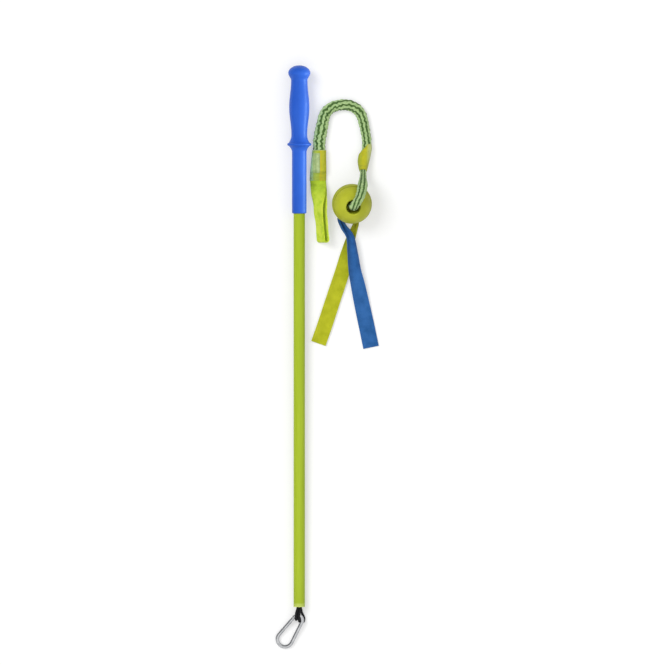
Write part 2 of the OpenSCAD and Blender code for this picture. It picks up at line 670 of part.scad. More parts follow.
module lime_streamer() {
    streamer(lime_shares, lime_heading, "darkkhaki");
}

grip();
pole_tube();
top_plug();
tip_plug();
cord_knot();
tip_cord();
hook_body();
hook_gate();
gate_rivet();
latch_pin();
gate_spring();
gate_plunger();
hand_loop();
loop_cuff();
blank_label();
cuff_stitches();
upper_cover();
upper_core();
leaf_sleeve();
leaf_stitches();
lower_cover();
lower_core();
stop_knot();
streamer_tack();
ball();
blue_streamer();
lime_streamer();
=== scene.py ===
"""The looks of a dog flirt pole laid out flat: a gripped tube with a cord and a snap hook at its tip, and
beside it the lure, a webbing loop and a gathered bungee that end in a rubber ball with two streamers.
Everything is in metres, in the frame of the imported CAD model. Routes and sizes repeat the CAD's."""

import math

import bmesh
import bpy
import numpy as np
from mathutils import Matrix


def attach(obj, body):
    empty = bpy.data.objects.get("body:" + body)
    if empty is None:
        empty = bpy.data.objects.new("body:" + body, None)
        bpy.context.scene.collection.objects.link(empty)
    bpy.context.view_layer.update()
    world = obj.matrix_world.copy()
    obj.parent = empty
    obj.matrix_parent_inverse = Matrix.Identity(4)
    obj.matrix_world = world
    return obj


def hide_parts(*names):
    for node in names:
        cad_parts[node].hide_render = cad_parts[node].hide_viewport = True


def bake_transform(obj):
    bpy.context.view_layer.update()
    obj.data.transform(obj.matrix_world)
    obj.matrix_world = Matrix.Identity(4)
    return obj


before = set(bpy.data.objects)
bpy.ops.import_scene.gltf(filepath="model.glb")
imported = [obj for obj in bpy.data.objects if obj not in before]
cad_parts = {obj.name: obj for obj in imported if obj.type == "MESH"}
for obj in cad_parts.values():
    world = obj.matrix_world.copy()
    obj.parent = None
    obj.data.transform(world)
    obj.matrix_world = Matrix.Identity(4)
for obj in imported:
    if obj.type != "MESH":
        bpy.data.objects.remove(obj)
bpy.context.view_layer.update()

MM = 0.001
TURN = 2 * math.pi
FINE_STEPS = 1500
SHARP_EDGE = math.radians(50)
LEFT = (-1, 0, 0)


def mm(values):
    """Millimetres as metres."""
    return np.asarray(values, float) * MM


# The least height above the floor, and the least radius of a closed end
HAIR = mm(0.05)

# Photograph: straight down, a square frame
FRAME_WIDTH = 1.0507
FRAME_CENTRE = (0.0085, 0.0387)
CAMERA_HEIGHT = 3.0

# Pole
POLE_TIP = mm([-44, -395, 8.999])
POLE_LINE = np.array([0, 0.99991, 0.01368])
POLE_LEN = mm(856)
TUBE_R, TUBE_IN_R = mm(9), mm(7.4)
FLANGE_H, CROWN_WALL = mm(2), mm(11)
GRIP_LEN = mm(234)
POMMEL_R, NECK_R, SWELL_R, WRIST_R, GUARD_R, SLEEVE_R = mm([17.5, 13, 16, 12.5, 19, 11.5])
POMMEL_AT, NECK_AT, SWELL_AT, WRIST_AT, GUARD_AT, TAPER_AT = mm([12.25, 24, 66.25, 110, 125, 137.5])
RIM_T, SLEEVE_ROUND, GRIP_ROOM, TUBE_EDGE, TUBE_EVEN = mm([5, 1.7, 0.1, 0.4, 60])
PALE_FROM, PALE_FULL = mm([6.5, 4])

# Tip cord: two strands, each out of the plug, over the hook's wire and back
CORD_D, PLAIT_PITCH, FULLER_UP, FULLER_OUT = mm([3.8, 7.5, 2, 3])
STRAND_OFF, CORD_IN = mm([2.1, 23.7])
CORD_KNOT_AT, CORD_KNOT_R, CORD_KNOT_LEN = mm([24.2, 7, 11.6])
HOOK_CENTRE = mm([-46.8, -416, 8.19])
# The hook's ring at its wire's middle, and a strand's way over the wire: its height and its reach inwards
RING_R, OVER_WIRE, INSIDE_WIRE = mm([7.5, 5.4, 0.8])
# The left strand's way back under the wire, and the right one's under the wire's right side and up beside it
UNDER_WIRE = mm([[-48.8, -414.4, 6.2], [-48.6, -412.2, 4], [-48.8, -408.8, 3], [-49, -405.2, 3.8]])
ROUND_WIRE = mm([[-44.5, -416.3, 7.2], [-43.7, -417.8, 4.9], [-42.2, -418.9, 3.4], [-40.4, -419.4, 2.8],
                 [-38.6, -419, 2.7], [-37.2, -417.8, 2.9], [-36.5, -416, 3.3], [-36.4, -413.2, 3.8],
                 [-37.2, -410, 4.4], [-38.8, -406.6, 5.3], [-40.3, -403, 6.2]])

# Spring inside the hook's gate, from the plunger to the end of its bore
SPRING_FROM, SPRING_TO = mm([-59.025, -418.654, 7.217]), mm([-64.561, -425.04, 6.309])
SPRING_R, SPRING_WIRE_D = mm([1.02, 0.44])
SPRING_CURLS = 8

# Lure
CUFF_TOP, CUFF_END = mm([-12.5, 326.7, 6.5]), mm([-14.5, 278.7, 6.5])
CUFF_LEN = CUFF_TOP[1] - CUFF_END[1]
CUFF_W, SEAM_W, CUFF_T, SEAM_T, BAND_LEN, CUFF_GIRTH = mm([22.5, 26, 12, 6, 8, 66])
# The share of its length over which the cuff closes, and where along it the lapped fold and the creases run out
SHUT_SHARE, FOLD_END = 0.17, 0.8
LAP_FROM, LAP_STEP, LAP_TO, LAP_SLOPE, LAP_H = mm([1.2, 0.6, 9.6, 1.5, 0.55])
CREASE_H, CREASE_REACH = mm([0.09, 11])
SEAM_ROWS, SEAM_HALF, SEAM_DENT = (0.885, 0.945), mm(10.4), mm(0.35)
STITCH_SIZE, STITCH_SINK, STITCH_LIFT = (0.0026, 0.0008, 0.0008), mm(0.1), mm(0.1)
BOX_POWER = 0.4
FLAT_SHARE = math.cos(math.pi / 12) ** BOX_POWER
LABEL_W, LABEL_LEN, LABEL_T, LABEL_GIRTH = mm([10.6, 31, 0.6, 21])
LABEL_LEFT, LABEL_DOWN, LABEL_POWER = 0.18, 0.1, 0.3
WEBBING_W, WEBBING_T = mm([25, 1.8])
LOOP_LEN, LOOP_GAP, LOOP_DRIFT, LOOP_LAP, LOOP_SPARE = mm([97, 6, 8, 1.2, 1.5])
LOOP_TWIST = math.radians(60)
RIPPLE_H, EDGE_WAVE_H = mm([0.5, 0.35])
TWIST_SHARES = [0, 0.28, 0.7, 0.93, 0.98, 1, 0.97]
GAPE_SHARES = [0.1, 0.5, 0.85, 1, 1, 1, 1]
COVER_W, COVER_T, CORE_D, GATHER_PITCH, GATHER_FADE, ZIGZAG_PITCH = mm([17.5, 11.5, 5, 12.6, 7, 7.9])
STRIPES = 5
UPPER_ROUTE = mm([[-12.5, 327, 6.5], [-12.3, 341, 6.5], [-10, 355, 6.5], [-7.5, 367, 6.5], [-5.5, 377, 6.5],
                  [-2, 386, 6.5], [6, 393.5, 6.5], [16.5, 397.5, 6.5], [28, 398.5, 6.5], [38.5, 396.5, 6.5],
                  [47.5, 391, 6.5], [54, 382, 6.5], [58, 368, 6.5], [60.8, 354, 6.5], [62.5, 344, 6.5],
                  [62.5, 337, 6.5]])
UPPER_WIDTHS = [1.12, 1.16, 1.1, 1.02, 1, 1, 0.95, 0.88, 0.86, 0.8]
LEAF_ROUTE = mm([[62.5, 336.4, 6.5], [62.5, 330, 6.5], [60, 321, 7], [57.5, 310, 8.5], [57, 301, 11],
                 [57, 294, 15]])
LEAF_WIDTHS = [0.8, 0.88, 0.97, 1, 0.95, 0.8, 0.62]
LEAF_SLANT, LEAF_POWER = 0.43, 0.62
LEAF_W, LEAF_T, LEAF_GIRTH, LEAF_ROW_HALF = mm([19, 12.5, 52, 4])
LEAF_ROWS = ((0.24, 0.48), (0.86, 0.86))
LOWER_ROUTE = mm([[57, 293.7, 15.2], [57, 287, 19], [56.6, 280.5, 27.5], [56.5, 277.3, 39], [56, 270.3, 58],
                  [54, 259.5, 69.2], [50.4, 250, 75], [45.8, 242.4, 77], [42.5, 237.6, 72], [41.7, 237.6, 63.5],
                  [40.8, 239.2, 53.5], [39.5, 241.5, 38], [38.9, 242.7, 31.7]])
LOWER_WIDTHS = [0.58, 0.62, 0.7, 0.8, 0.89, 0.92, 0.88, 0.83, 0.79, 0.76, 0.75, 0.74, 0.74]
BALL_CENTRE = mm([39.2, 242, 35.487])
BALL_AXIS = np.array([0.084565, -0.189937, 0.978148])
BALL_R, MOUTH_R, WEB_HOLE_R, POCKET_R, GROOVE_R, GROOVE_UP, BALL_LIP = mm([31.6, 11, 7.7, 12.5, 1, 10, 1.8])
WEB_TOP, WEB_LOW = mm([2, -4])
STOP_R, STOP_LEN, STOP_ROOM = mm([10.5, 16, 0.3])
TACK_FOOT = mm([36.132, 248.891, 0])
TACK_R, TACK_LOW, TACK_TOP = mm([3.2, 0.3, 15.2])
TACK_WINDS = 14
STREAMER_LEN, STREAMER_W, STREAMER_T, ROOT_R = mm([230, 25, 1.8, 3.5])
CURL_FROM, CURL_OVER = mm([8, 28])
FLUTTER_H, FLUTTER_PITCH, FLUTTER_FROM, FLUTTER_OVER = mm([0.5, 64, 110, 60])
BLUE_LOW, BLUE_RISE, RISE_FROM, RISE_OVER = mm([1.9, 2.6, 28, 20])
BLUE_DROP, DROP_FROM, DROP_OVER = mm([4.4, 105, 85])
LIME_OPEN_FROM, LIME_OPEN_OVER = mm([95, 40])
BLUE_HEADING, LIME_HEADING = math.radians(8), math.radians(-12.3)
# Each streamer's course: shares of its length along the heading and to its left, and its seen width's share
BLUE_COURSE = [[0, 0, 0.34], [0.041, 0.036, 0.32], [0.099, 0.074, 0.32], [0.166, 0.06, 0.36],
               [0.242, 0.025, 0.46], [0.351, 0.023, 0.63], [0.474, 0.025, 0.79], [0.575, 0.018, 0.9],
               [0.697, 0.01, 0.96], [0.86, -0.002, 1], [1.015, -0.012, 1]]
LIME_COURSE = [[0, 0, 0.34], [0.065, -0.038, 0.32], [0.133, -0.066, 0.32], [0.177, -0.064, 0.38],
               [0.258, -0.054, 0.56], [0.365, -0.05, 0.79], [0.478, -0.047, 0.92], [0.695, -0.025, 0.95],
               [0.861, -0.008, 0.96], [1, 0.009, 0.96]]

# Cloth and cord: the pitches of their threads, and where along a piece its colour changes
CORD_FIBRE, WEBBING_THREAD, CUFF_THREAD, STREAMER_THREAD, COVER_THREAD = mm([0.45, 1.6, 1.2, 1.3, 1.1])
LABEL_RIB, LABEL_WEFT = mm([2.1, 0.7])
DULL_TO, BRIGHT_FROM = mm([15, 40])
DRIFT_FROM, DRIFT_TO = mm([62, 135])
# Painted shade in the ball's groove: how far from its middle line it starts, and where it is full
GROOVE_SHADE_EDGE, GROOVE_SHADE_FULL = mm([1.8, 0.7])
# Painted shadow at each streamer's sewn end: full up to one distance, gone by the other
ROOT_SHADOW_TO, ROOT_SHADOW_OUT = mm([22, 60])

# Stage
FLOOR_HALF, FLOOR_Z, FLOOR_GREY, FLOOR_GLOW = 4.0, -0.0002, 0.62, 0.42
SCREEN_WAY = (-0.6, 0.8, 0)
KEY_STRENGTH, KEY_ANGLE, KEY_TURN = 1.45, math.radians(30), (math.radians(-20), math.radians(-30), 0)
STRIP_WATTS, STRIP_SIZE, STRIP_AT = 3.0, (0.4, 0.1), (0.55, 0.3, 0.1)
STRIP_TURN = (math.radians(80), 0, math.radians(90))
WHITE = (1, 1, 1, 1)


# Curves and meshes

def unit(v):
    v = np.asarray(v, float)
    return v / np.linalg.norm(v, axis=-1, keepdims=True)


def smooth_curve(points, t):
    """The smooth curve through points, at shares t of the way from the first point to the last."""
    p = np.asarray(points, float)
    n = len(p) - 1
    s = np.clip(np.asarray(t, float), 0, 1) * n
    i = np.minimum(s.astype(int), n - 1)
    f = s - i
    if p.ndim > 1:
        f = f[..., None]
    a, b, c, d = p[np.maximum(i - 1, 0)], p[i], p[i + 1], p[np.minimum(i + 2, n)]
    bend, twist = 2 * a - 5 * b + 4 * c - d, 3 * b - 3 * c + d - a
    return b + (c - a) * f / 2 + bend * f ** 2 / 2 + twist * f ** 3 / 2


def distances(line):
    """How far along a line of points each one is."""
    return np.concatenate([[0], np.cumsum(np.linalg.norm(np.diff(line, axis=0), axis=1))])


def read_off(at, places, values):
    """Rows of values, known at places, read off at others between them."""
    return np.stack([np.interp(at, places, values[:, k]) for k in range(3)], axis=-1)


def even_walk(points, count):
    """Evenly spaced places on the smooth curve through points, and each one's distance from its start."""
    line = smooth_curve(points, np.linspace(0, 1, FINE_STEPS))
    run = distances(line)
    steps = np.linspace(0, run[-1], count)
    return read_off(steps, run, line), steps


def course_frames(line, across=None):
    """Directions across and up at each place of a line; across is level unless one is given."""
    ahead = unit(np.gradient(line, axis=0))
    if across is None:
        side = unit(np.cross(ahead, [0, 0, 1]))
    else:
        across = np.asarray(across, float)
        side = unit(across - ahead * (ahead @ across)[:, None])
    return side, np.cross(side, ahead)


def pairs(a, b):
    return np.stack([a, b], axis=1)


def ease(f):
    f = np.clip(f, 0, 1)
    return f * f * (3 - 2 * f)


def bow(v, power):
    return np.sign(v) * np.abs(v) ** power


def end_fade(run, length):
    """1 along a route, easing to 0 over a length at both of its ends."""
    return ease(run / length) * ease((run[-1] - run) / length)


def skin(name, rings, u, v, material, closed=False):
    """A closed mesh over rings of points, with a UV map in metres: u round each ring, v from ring to ring.
    u is a row of places or only the girth."""
    count, columns = rings.shape[:2]
    if np.ndim(u) == 0:
        u = np.linspace(0, u, columns + 1)
    index = np.arange(count * columns).reshape(count, columns)
    index = np.concatenate([index, index[:, :1]], axis=1)
    u = np.broadcast_to(u, (count, columns + 1))
    v = np.broadcast_to(np.reshape(v, (-1, 1)) if np.ndim(v) == 1 else v, (count, columns + 1))
    if closed:
        index, u, v = (np.concatenate([a, a[:1]]) for a in (index, u, v))

    def corners(a):
        return np.stack([a[:-1, :-1], a[:-1, 1:], a[1:, 1:], a[1:, :-1]], axis=-1).reshape(-1, 4)

    faces = corners(index).tolist()
    if not closed:
        faces += [index[0, :-1][::-1].tolist(), index[-1, :-1].tolist()]
    mesh = bpy.data.meshes.new(name)
    mesh.from_pydata(rings.reshape(-1, 3).tolist(), [], faces)
    places = np.zeros((len(mesh.loops), 2), np.float32)
    sides = pairs(corners(u).ravel(), corners(v).ravel())
    places[:len(sides)] = sides
    mesh.uv_layers.new(name="along").data.foreach_set("uv", places.ravel())
    return finished(name, mesh, material)


def placed(name, data):
    """A new object at the origin."""
    obj = bpy.data.objects.new(name, data)
    bpy.context.scene.collection.objects.link(obj)
    return obj


def finished(name, mesh, material):
    """An object at the origin with its faces turned outwards and its smooth faces shaded smooth."""
    build = bmesh.new()
    build.from_mesh(mesh)
    bmesh.ops.recalc_face_normals(build, faces=build.faces)
    build.to_mesh(mesh)
    build.free()
    mesh.polygons.foreach_set("use_smooth", [True] * len(mesh.polygons))
    mesh.set_sharp_from_angle(angle=SHARP_EDGE)
    mesh.materials.clear()
    mesh.materials.append(material)
    return placed(name, mesh)


def turns(columns):
    return np.linspace(0, TURN, columns, endpoint=False)


def around(line, side, rise, turn, radius):
    """Rings of points about a line: a radius at each turn from side towards rise."""
    spokes = np.cos(turn)[:, None] * side[:, None] + np.sin(turn)[:, None] * rise[:, None]
    return line[:, None] + radius * spokes


def laid_out(line, side, x, rise, z):
    """Rings of points at distances x along side and z along rise from each place of a line."""
    return line[:, None] + x[..., None] * side[:, None] + z[..., None] * rise[:, None]


def spokes_about(axis, columns):
    """An axis as a unit vector, and the directions out from it all round."""
    axis = unit(axis)
    side = unit(np.cross([0, 1, 0] if abs(axis[1]) < 0.7 else [0, 0, 1], axis))
    turn = turns(columns)
    return axis, np.cos(turn)[:, None] * side + np.sin(turn)[:, None] * np.cross(axis, side)


def lathe(name, outline, foot, axis, material, columns=128, closed=False):
    """A turned piece: an outline of (distance along the axis, radius) about an axis from its foot."""
    outline = np.asarray(outline, float)
    axis, spokes = spokes_about(axis, columns)
    rings = foot + outline[:, None, :1] * axis + outline[:, None, 1:] * spokes
    return skin(name, rings, TURN * outline[:, 1].max(), distances(outline), material, closed)


def joined(name, objects):
    """Several meshes as one object."""
    bpy.ops.object.select_all(action="DESELECT")
    for o in objects:
        o.select_set(True)
    bpy.context.view_layer.objects.active = objects[0]
    bpy.ops.object.join()
    objects[0].name = objects[0].data.name = name
    return objects[0]


def stand_in(piece, node, body):
    """A piece takes a CAD node's place and moves with a body."""
    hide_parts(node)
    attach(piece, body)


# Finishes

def tint(red, green, blue):
    """An sRGB colour, 0 to 255, as the linear colour that a shader takes."""
    def linear(c):
        c /= 255
        return c / 12.92 if c <= 0.04045 else ((c + 0.055) / 1.055) ** 2.4
    return linear(red), linear(green), linear(blue), 1.0


class Nodes:
    """A node tree in the making, with short calls for the nodes that the finishes and the world share."""

    def __init__(self, tree):
        self.tree = tree

    def node(self, kind, inputs=(), **settings):
        made = self.tree.nodes.new(kind)
        for key, value in settings.items():
            setattr(made, key, value)
        for socket, value in dict(inputs).items():
            self.feed(made.inputs[socket], value)
        return made

    def feed(self, socket, value):
        if isinstance(value, bpy.types.NodeSocket):
            self.tree.links.new(value, socket)
        else:
            socket.default_value = value

    def math(self, operation, a, b=0.0):
        return self.node("ShaderNodeMath", {0: a, 1: b}, operation=operation).outputs["Value"]

    def times(self, a, b):
        return self.math("MULTIPLY", a, b)

    def plus(self, a, b):
        return self.math("ADD", a, b)

    def reach(self, vector, way):
        """How far a vector goes along a direction."""
        made = self.node("ShaderNodeVectorMath", {0: vector, 1: tuple(way)}, operation="DOT_PRODUCT")
        return made.outputs["Value"]

    def part(self, vector, axis):
        return self.node("ShaderNodeSeparateXYZ", {"Vector": vector}).outputs[axis]

    def between(self, value, low, high, top=1.0, **settings):
        """0 to a top as a value goes from low to high."""
        return self.node("ShaderNodeMapRange", {"Value": value, "From Min": float(low), "From Max": float(high),
                                                "To Max": top}, **settings).outputs["Result"]

    def ramp(self, value, *stops):
        """Colours or greys at places from 0 to 1."""
        made = self.node("ShaderNodeValToRGB", {"Fac": value})
        keys = made.color_ramp.elements
        while len(keys) < len(stops):
            keys.new(1.0)
        for key, (at, colour) in zip(keys, stops):
            key.position = at
            key.color = colour if isinstance(colour, tuple) else (colour, colour, colour, 1)
        return made.outputs["Color"]

    def mixed(self, share, a, b, blend="MIX"):
        made = self.node("ShaderNodeMix", data_type="RGBA", blend_type=blend)
        for socket, value in ((made.inputs[0], share), (made.inputs[6], a), (made.inputs[7], b)):
            self.feed(socket, value)
        return made.outputs[2]


class Finish(Nodes):
    """A material in the making: its shader, and the places and patterns on its surface."""

    def __init__(self, name, **constants):
        self.material = bpy.data.materials.new(name)
        self.material.use_nodes = True
        super().__init__(self.material.node_tree)
        self.shader = self.tree.nodes["Principled BSDF"]
        for socket, value in constants.items():
            self.shader.inputs[socket.replace("_", " ")].default_value = value

    def give(self, socket, value):
        self.feed(self.shader.inputs[socket], value)

    def object_place(self, stretch=(1, 1, 1)):
        at = self.node("ShaderNodeTexCoord").outputs["Object"]
        return self.node("ShaderNodeMapping", {"Vector": at, "Scale": stretch}).outputs["Vector"]

    def surface_place(self):
        """The piece's own u and v, in metres."""
        uv = self.node("ShaderNodeUVMap", uv_map="along").outputs["UV"]
        return self.part(uv, "X"), self.part(uv, "Y")

    def wave(self, value, pitch):
        """A sine wave from -1 to 1 along a value in metres."""
        return self.math("SINE", self.times(value, TURN / pitch))

    def noise(self, place, scale, detail=3.0):
        return self.node("ShaderNodeTexNoise", {"Vector": place, "Scale": scale, "Detail": detail,
                                                "Roughness": 0.55}).outputs["Fac"]

    def weave(self, u, v, pitch):
        return self.times(self.wave(u, pitch), self.wave(v, pitch))

    def colour(self, value, *stops):
        self.give("Base Color", self.ramp(value, *stops))

    def rough(self, value, *stops):
        self.give("Roughness", self.ramp(value, *stops))

    def bump(self, height, distance, strength=1.0):
        made = self.node("ShaderNodeBump", {"Height": height, "Distance": distance, "Strength": strength})
        self.give("Normal", made.outputs["Normal"])


def mottled(name, colours, gloss, grain, stretch=(1, 1, 1), **constants):
    """One plain stuff: a mottle of two tints, an uneven gloss and a fine grain, each with its scale first."""
    f = Finish(name, **constants)
    at = f.object_place(stretch)
    scale, low, high = colours
    f.colour(f.noise(at, scale), (0.3, tint(*low)), (0.7, tint(*high)))
    scale, low, high = gloss
    f.rough(f.noise(at, scale), (0.3, low), (0.7, high))
    scale, depth, strength = grain
    f.bump(f.noise(at, scale, 2), depth, strength)
    return f.material


def grip_rubber():
    return mottled("grip_blue", (22, (38, 88, 200), (46, 100, 214)), (160, 0.4, 0.48), (1500, 0.00012, 0.3),
                   IOR=1.5, Specular_Tint=(0.45, 0.8, 1, 1))


def tube_lime():
    """Extruded plastic, faintly streaked along its length and rubbed paler at its tip."""
    f = Finish("tube_lime", IOR=1.46, Specular_IOR_Level=0.35)
    streaks = f.noise(f.object_place((40, 1.5, 40)), 6)
    body = f.ramp(streaks, (0.3, tint(166, 190, 38)), (0.7, tint(178, 200, 50)))
    along = f.part(f.object_place(), "Y")
    rubbed = f.between(along, POLE_TIP[1] + PALE_FROM, POLE_TIP[1] + PALE_FULL)
    f.give("Base Color", f.mixed(f.times(rubbed, 0.75), body, tint(206, 222, 112)))
    f.rough(f.noise(f.object_place((1, 0.06, 1)), 700), (0.3, 0.44), (0.7, 0.56))
    f.bump(f.noise(f.object_place(), 1400, 2), 0.00005, 0.3)
    return f.material


def plug_lime():
    return mottled("plug_lime", (90, (196, 212, 96), (210, 224, 118)), (500, 0.42, 0.55), (1800, 0.00006, 0.4),
                   IOR=1.46)


def cord_black():
    f = Finish("cord_black", Specular_IOR_Level=0.25)
    u, v = f.surface_place()
    fibre = f.wave(f.plus(u, v), CORD_FIBRE)
    patch = f.noise(f.object_place(), 900)
    # The lighter patches stand partly for the cord's greyer fibres and partly for painted highlights on the
    # braid.
    f.colour(patch, (0.3, tint(9, 9, 10)), (0.72, tint(38, 38, 42)))
    f.rough(patch, (0.3, 0.55), (0.7, 0.75))
    f.bump(fibre, 0.00012, 0.5)
    return f.material


def hook_chrome():
    """Nickel plate: polished, with faint drawing lines and dulled patches."""
    f = Finish("hook_metal", Metallic=1.0, Specular_Tint=(0.35, 0.35, 0.37, 1))
    at = f.object_place()
    f.colour(f.noise(at, 120), (0.3, tint(192, 194, 197)), (0.7, tint(224, 225, 227)))
    f.rough(f.noise(f.object_place((1, 6, 1)), 420, 4), (0.35, 0.08), (0.7, 0.22))
    f.bump(f.noise(at, 2600, 2), 0.00003, 0.25)
    return f.material


def pin_steel():
    return mottled("pin_steel", (500, (150, 152, 155), (186, 188, 190)), (900, 0.3, 0.45), (2400, 0.00003, 0.4),
                   stretch=(1, 1, 14), Metallic=1.0)


def webbing_lime():
    """Bright webbing: a diagonal weave, patches of painted shade where it has creased, and a duller end at the
    seam.
    """
    f = Finish("webbing_lime", Sheen_Weight=0.15, Specular_IOR_Level=0.3)
    u, v = f.surface_place()
    threads = f.weave(f.plus(u, f.times(v, 0.6)), v, WEBBING_THREAD)
    # The darker noise patches are painted shade in the webbing's creases.
    patch = f.plus(f.times(threads, 0.1), f.noise(f.object_place(), 105, 3))
    bright = f.ramp(patch, (0.32, tint(204, 236, 38)), (0.5, tint(234, 255, 62)), (0.75, tint(242, 255, 84)))
    dull = f.ramp(patch, (0.32, tint(160, 190, 38)), (0.5, tint(190, 218, 50)), (0.75, tint(202, 230, 60)))
    f.give("Base Color", f.mixed(f.between(v, DULL_TO, BRIGHT_FROM), dull, bright))
    f.rough(threads, (0.0, 0.76), (1.0, 0.62))
    f.bump(threads, 0.00022)
    return f.material


def sewn_olive(name, middle, width, *tints_and_highlights):
    """Sewn olive cloth whose colour changes across it, partly as painted highlight: colours at shares of a width
    about a middle line.
    """
    f = Finish(name, Sheen_Weight=0.12, Specular_IOR_Level=0.3)
    u, v = f.surface_place()
    threads = f.weave(u, v, CUFF_THREAD)
    patch = f.plus(f.times(threads, 0.1), f.noise(f.object_place(), 90, 4))
    place = f.between(f.part(f.object_place(), "X"), middle - width / 2, middle + width / 2)
    shade = f.ramp(patch, (0.3, 0.86), (0.7, 1.0))
    f.give("Base Color", f.mixed(1.0, f.ramp(place, *tints_and_highlights), shade, "MULTIPLY"))
    f.rough(threads, (0.0, 0.78), (1.0, 0.6))
    f.bump(threads, 0.00018)
    return f.material


def label_pale():
    f = Finish("label_pale", Sheen_Weight=0.1)
    u, v = f.surface_place()
    ribs = f.wave(u, LABEL_RIB)
    weft = f.wave(v, LABEL_WEFT)
    shade = f.plus(f.times(ribs, 0.22), f.noise(f.object_place(), 260))
    f.colour(shade, (0.25, tint(152, 178, 108)), (0.75, tint(196, 214, 150)))
    f.rough(weft, (0.0, 0.7), (1.0, 0.5))
    f.bump(f.plus(ribs, f.times(weft, 0.5)), 0.00012)
    return f.material


def thread_olive():
    return mottled("thread_olive", (700, (156, 158, 44), (184, 184, 62)), (1200, 0.55, 0.7),
                   (3200, 0.00008, 1.0), Sheen_Weight=0.2)


def cover_striped(name, roll, mottling, sway):
    """Gathered tubular webbing: five light and five dark stripes round it, which zigzag with the gathers.
    roll is how far round they drift over the arch, mottling how far the two colours break into each other,
    and sway how much of the zigzag is left where the cover is pulled straight."""
    f = Finish(name, Sheen_Weight=0.15)
    u, v = f.surface_place()
    zigzag = f.times(f.wave(v, ZIGZAG_PITCH), 0.018 * sway)
    wobble = f.times(f.math("SUBTRACT", f.noise(f.object_place(), 150, 1), 0.5), 0.14 * sway)
    drift = f.between(v, DRIFT_FROM, DRIFT_TO, roll, interpolation_type="SMOOTHSTEP")
    round_share = f.math("SUBTRACT", f.plus(u, f.plus(zigzag, wobble)), drift)
    stripe = f.math("COSINE", f.times(f.math("SUBTRACT", round_share, 0.25), TURN * STRIPES))
    threads = f.times(f.wave(u, 0.018), f.wave(v, COVER_THREAD))
    mottle = f.noise(f.object_place(), 420, 3)
    broken = f.times(f.math("SUBTRACT", mottle, 0.5), mottling)
    light = f.ramp(mottle, (0.3, tint(174, 212, 136)), (0.7, tint(212, 240, 170)))
    dark = f.ramp(mottle, (0.3, tint(58, 100, 34)), (0.7, tint(96, 138, 58)))
    level = f.plus(f.times(stripe, 0.5), f.plus(broken, 0.5))
    f.give("Base Color", f.mixed(f.ramp(level, (0.32, 0.0), (0.52, 1.0)), dark, light))
    f.rough(threads, (0.0, 0.8), (1.0, 0.62))
    f.bump(threads, 0.0002)
    return f.material


def core_elastic():
    return mottled("core_elastic", (600, (206, 202, 184), (228, 226, 212)), (900, 0.5, 0.65),
                   (1500, 0.0001, 1.0), IOR=1.5)


def ball_rubber():
    """Solid rubber: a broad mottle, a pebbled skin, and painted shade in the groove."""
    f = Finish("ball_olive", IOR=1.5, Specular_IOR_Level=0.35)
    at = f.object_place()
    body = f.ramp(f.noise(at, 48, 4), (0.3, tint(177, 183, 38)), (0.7, tint(195, 200, 54)))
    groove = float(BALL_CENTRE @ BALL_AXIS + GROOVE_UP)
    off_groove = f.math("ABSOLUTE", f.math("SUBTRACT", f.reach(at, BALL_AXIS), groove))
    # Painted shade: the colour darkens towards the groove's middle line.
    f.give("Base Color", f.mixed(f.between(off_groove, GROOVE_SHADE_EDGE, GROOVE_SHADE_FULL, 0.45), body, tint(98, 92, 14)))
    f.rough(f.noise(at, 300), (0.3, 0.46), (0.7, 0.6))
    f.bump(f.noise(at, 1100, 2), 0.00016, 0.5)
    return f.material


def streamer_cloth(name, low, high):
    """Brushed cloth: a fine nap over a plain weave, with the ball's shadow painted darker on its sewn end."""
    f = Finish(name, Sheen_Weight=0.15, Sheen_Roughness=0.5, Specular_IOR_Level=0.25)
    u, v = f.surface_place()
    at = f.object_place()
    nap = f.noise(at, 1300, 3)
    threads = f.weave(u, v, STREAMER_THREAD)
    shade = f.plus(f.times(f.plus(threads, nap), 0.12), f.noise(at, 60, 4))
    # Painted shadow: the colour darkens towards the sewn end, under the ball.
    ball_shadow = f.ramp(f.between(v, ROOT_SHADOW_TO, ROOT_SHADOW_OUT), (0.0, 0.42), (1.0, 1.0))
    f.give("Base Color", f.mixed(1.0, f.ramp(shade, (0.34, low), (0.72, high)), ball_shadow, "MULTIPLY"))
    f.rough(nap, (0.3, 0.78), (0.7, 0.92))
    f.bump(f.plus(f.times(threads, 0.6), nap), 0.0002, 0.7)
    return f.material


grip_finish, tube_finish, plug_finish = grip_rubber(), tube_lime(), plug_lime()
cord_finish, chrome_finish, steel_finish = cord_black(), hook_chrome(), pin_steel()
webbing_finish, label_finish, thread_finish = webbing_lime(), label_pale(), thread_olive()
# On the cuff, the gold over the lapped fold is a painted highlight; the cloth turns paler green towards its left
# edge.
cuff_finish = sewn_olive("cuff_olive", CUFF_TOP[0], CUFF_W, (0.0, tint(182, 224, 164)),
                         (0.12, tint(187, 211, 94)), (0.5, tint(186, 202, 62)), (0.58, tint(214, 200, 46)),
                         (0.75, tint(206, 208, 58)), (1.0, tint(206, 206, 52)))
# On the leaf, the yellow along its middle is a painted highlight on the ridge; the cloth turns pale towards its
# right edge.
leaf_finish = sewn_olive("leaf_olive", LEAF_ROUTE[3, 0], LEAF_W, (0.0, tint(184, 196, 70)),
                         (0.3, tint(198, 202, 48)), (0.48, tint(208, 203, 42)), (0.75, tint(200, 202, 52)),
                         (1.0, tint(212, 222, 142)))
cover_finish = cover_striped("cover_green", roll=0.2, mottling=0.5, sway=1.0)
tail_finish = cover_striped("cover_green_tail", roll=0.0, mottling=0.6, sway=0.35)
core_finish, ball_finish = core_elastic(), ball_rubber()
blue_finish = streamer_cloth("streamer_blue", tint(34, 88, 148), tint(54, 110, 178))
lime_finish = streamer_cloth("streamer_lime", tint(170, 176, 26), tint(196, 199, 42))


# Pole

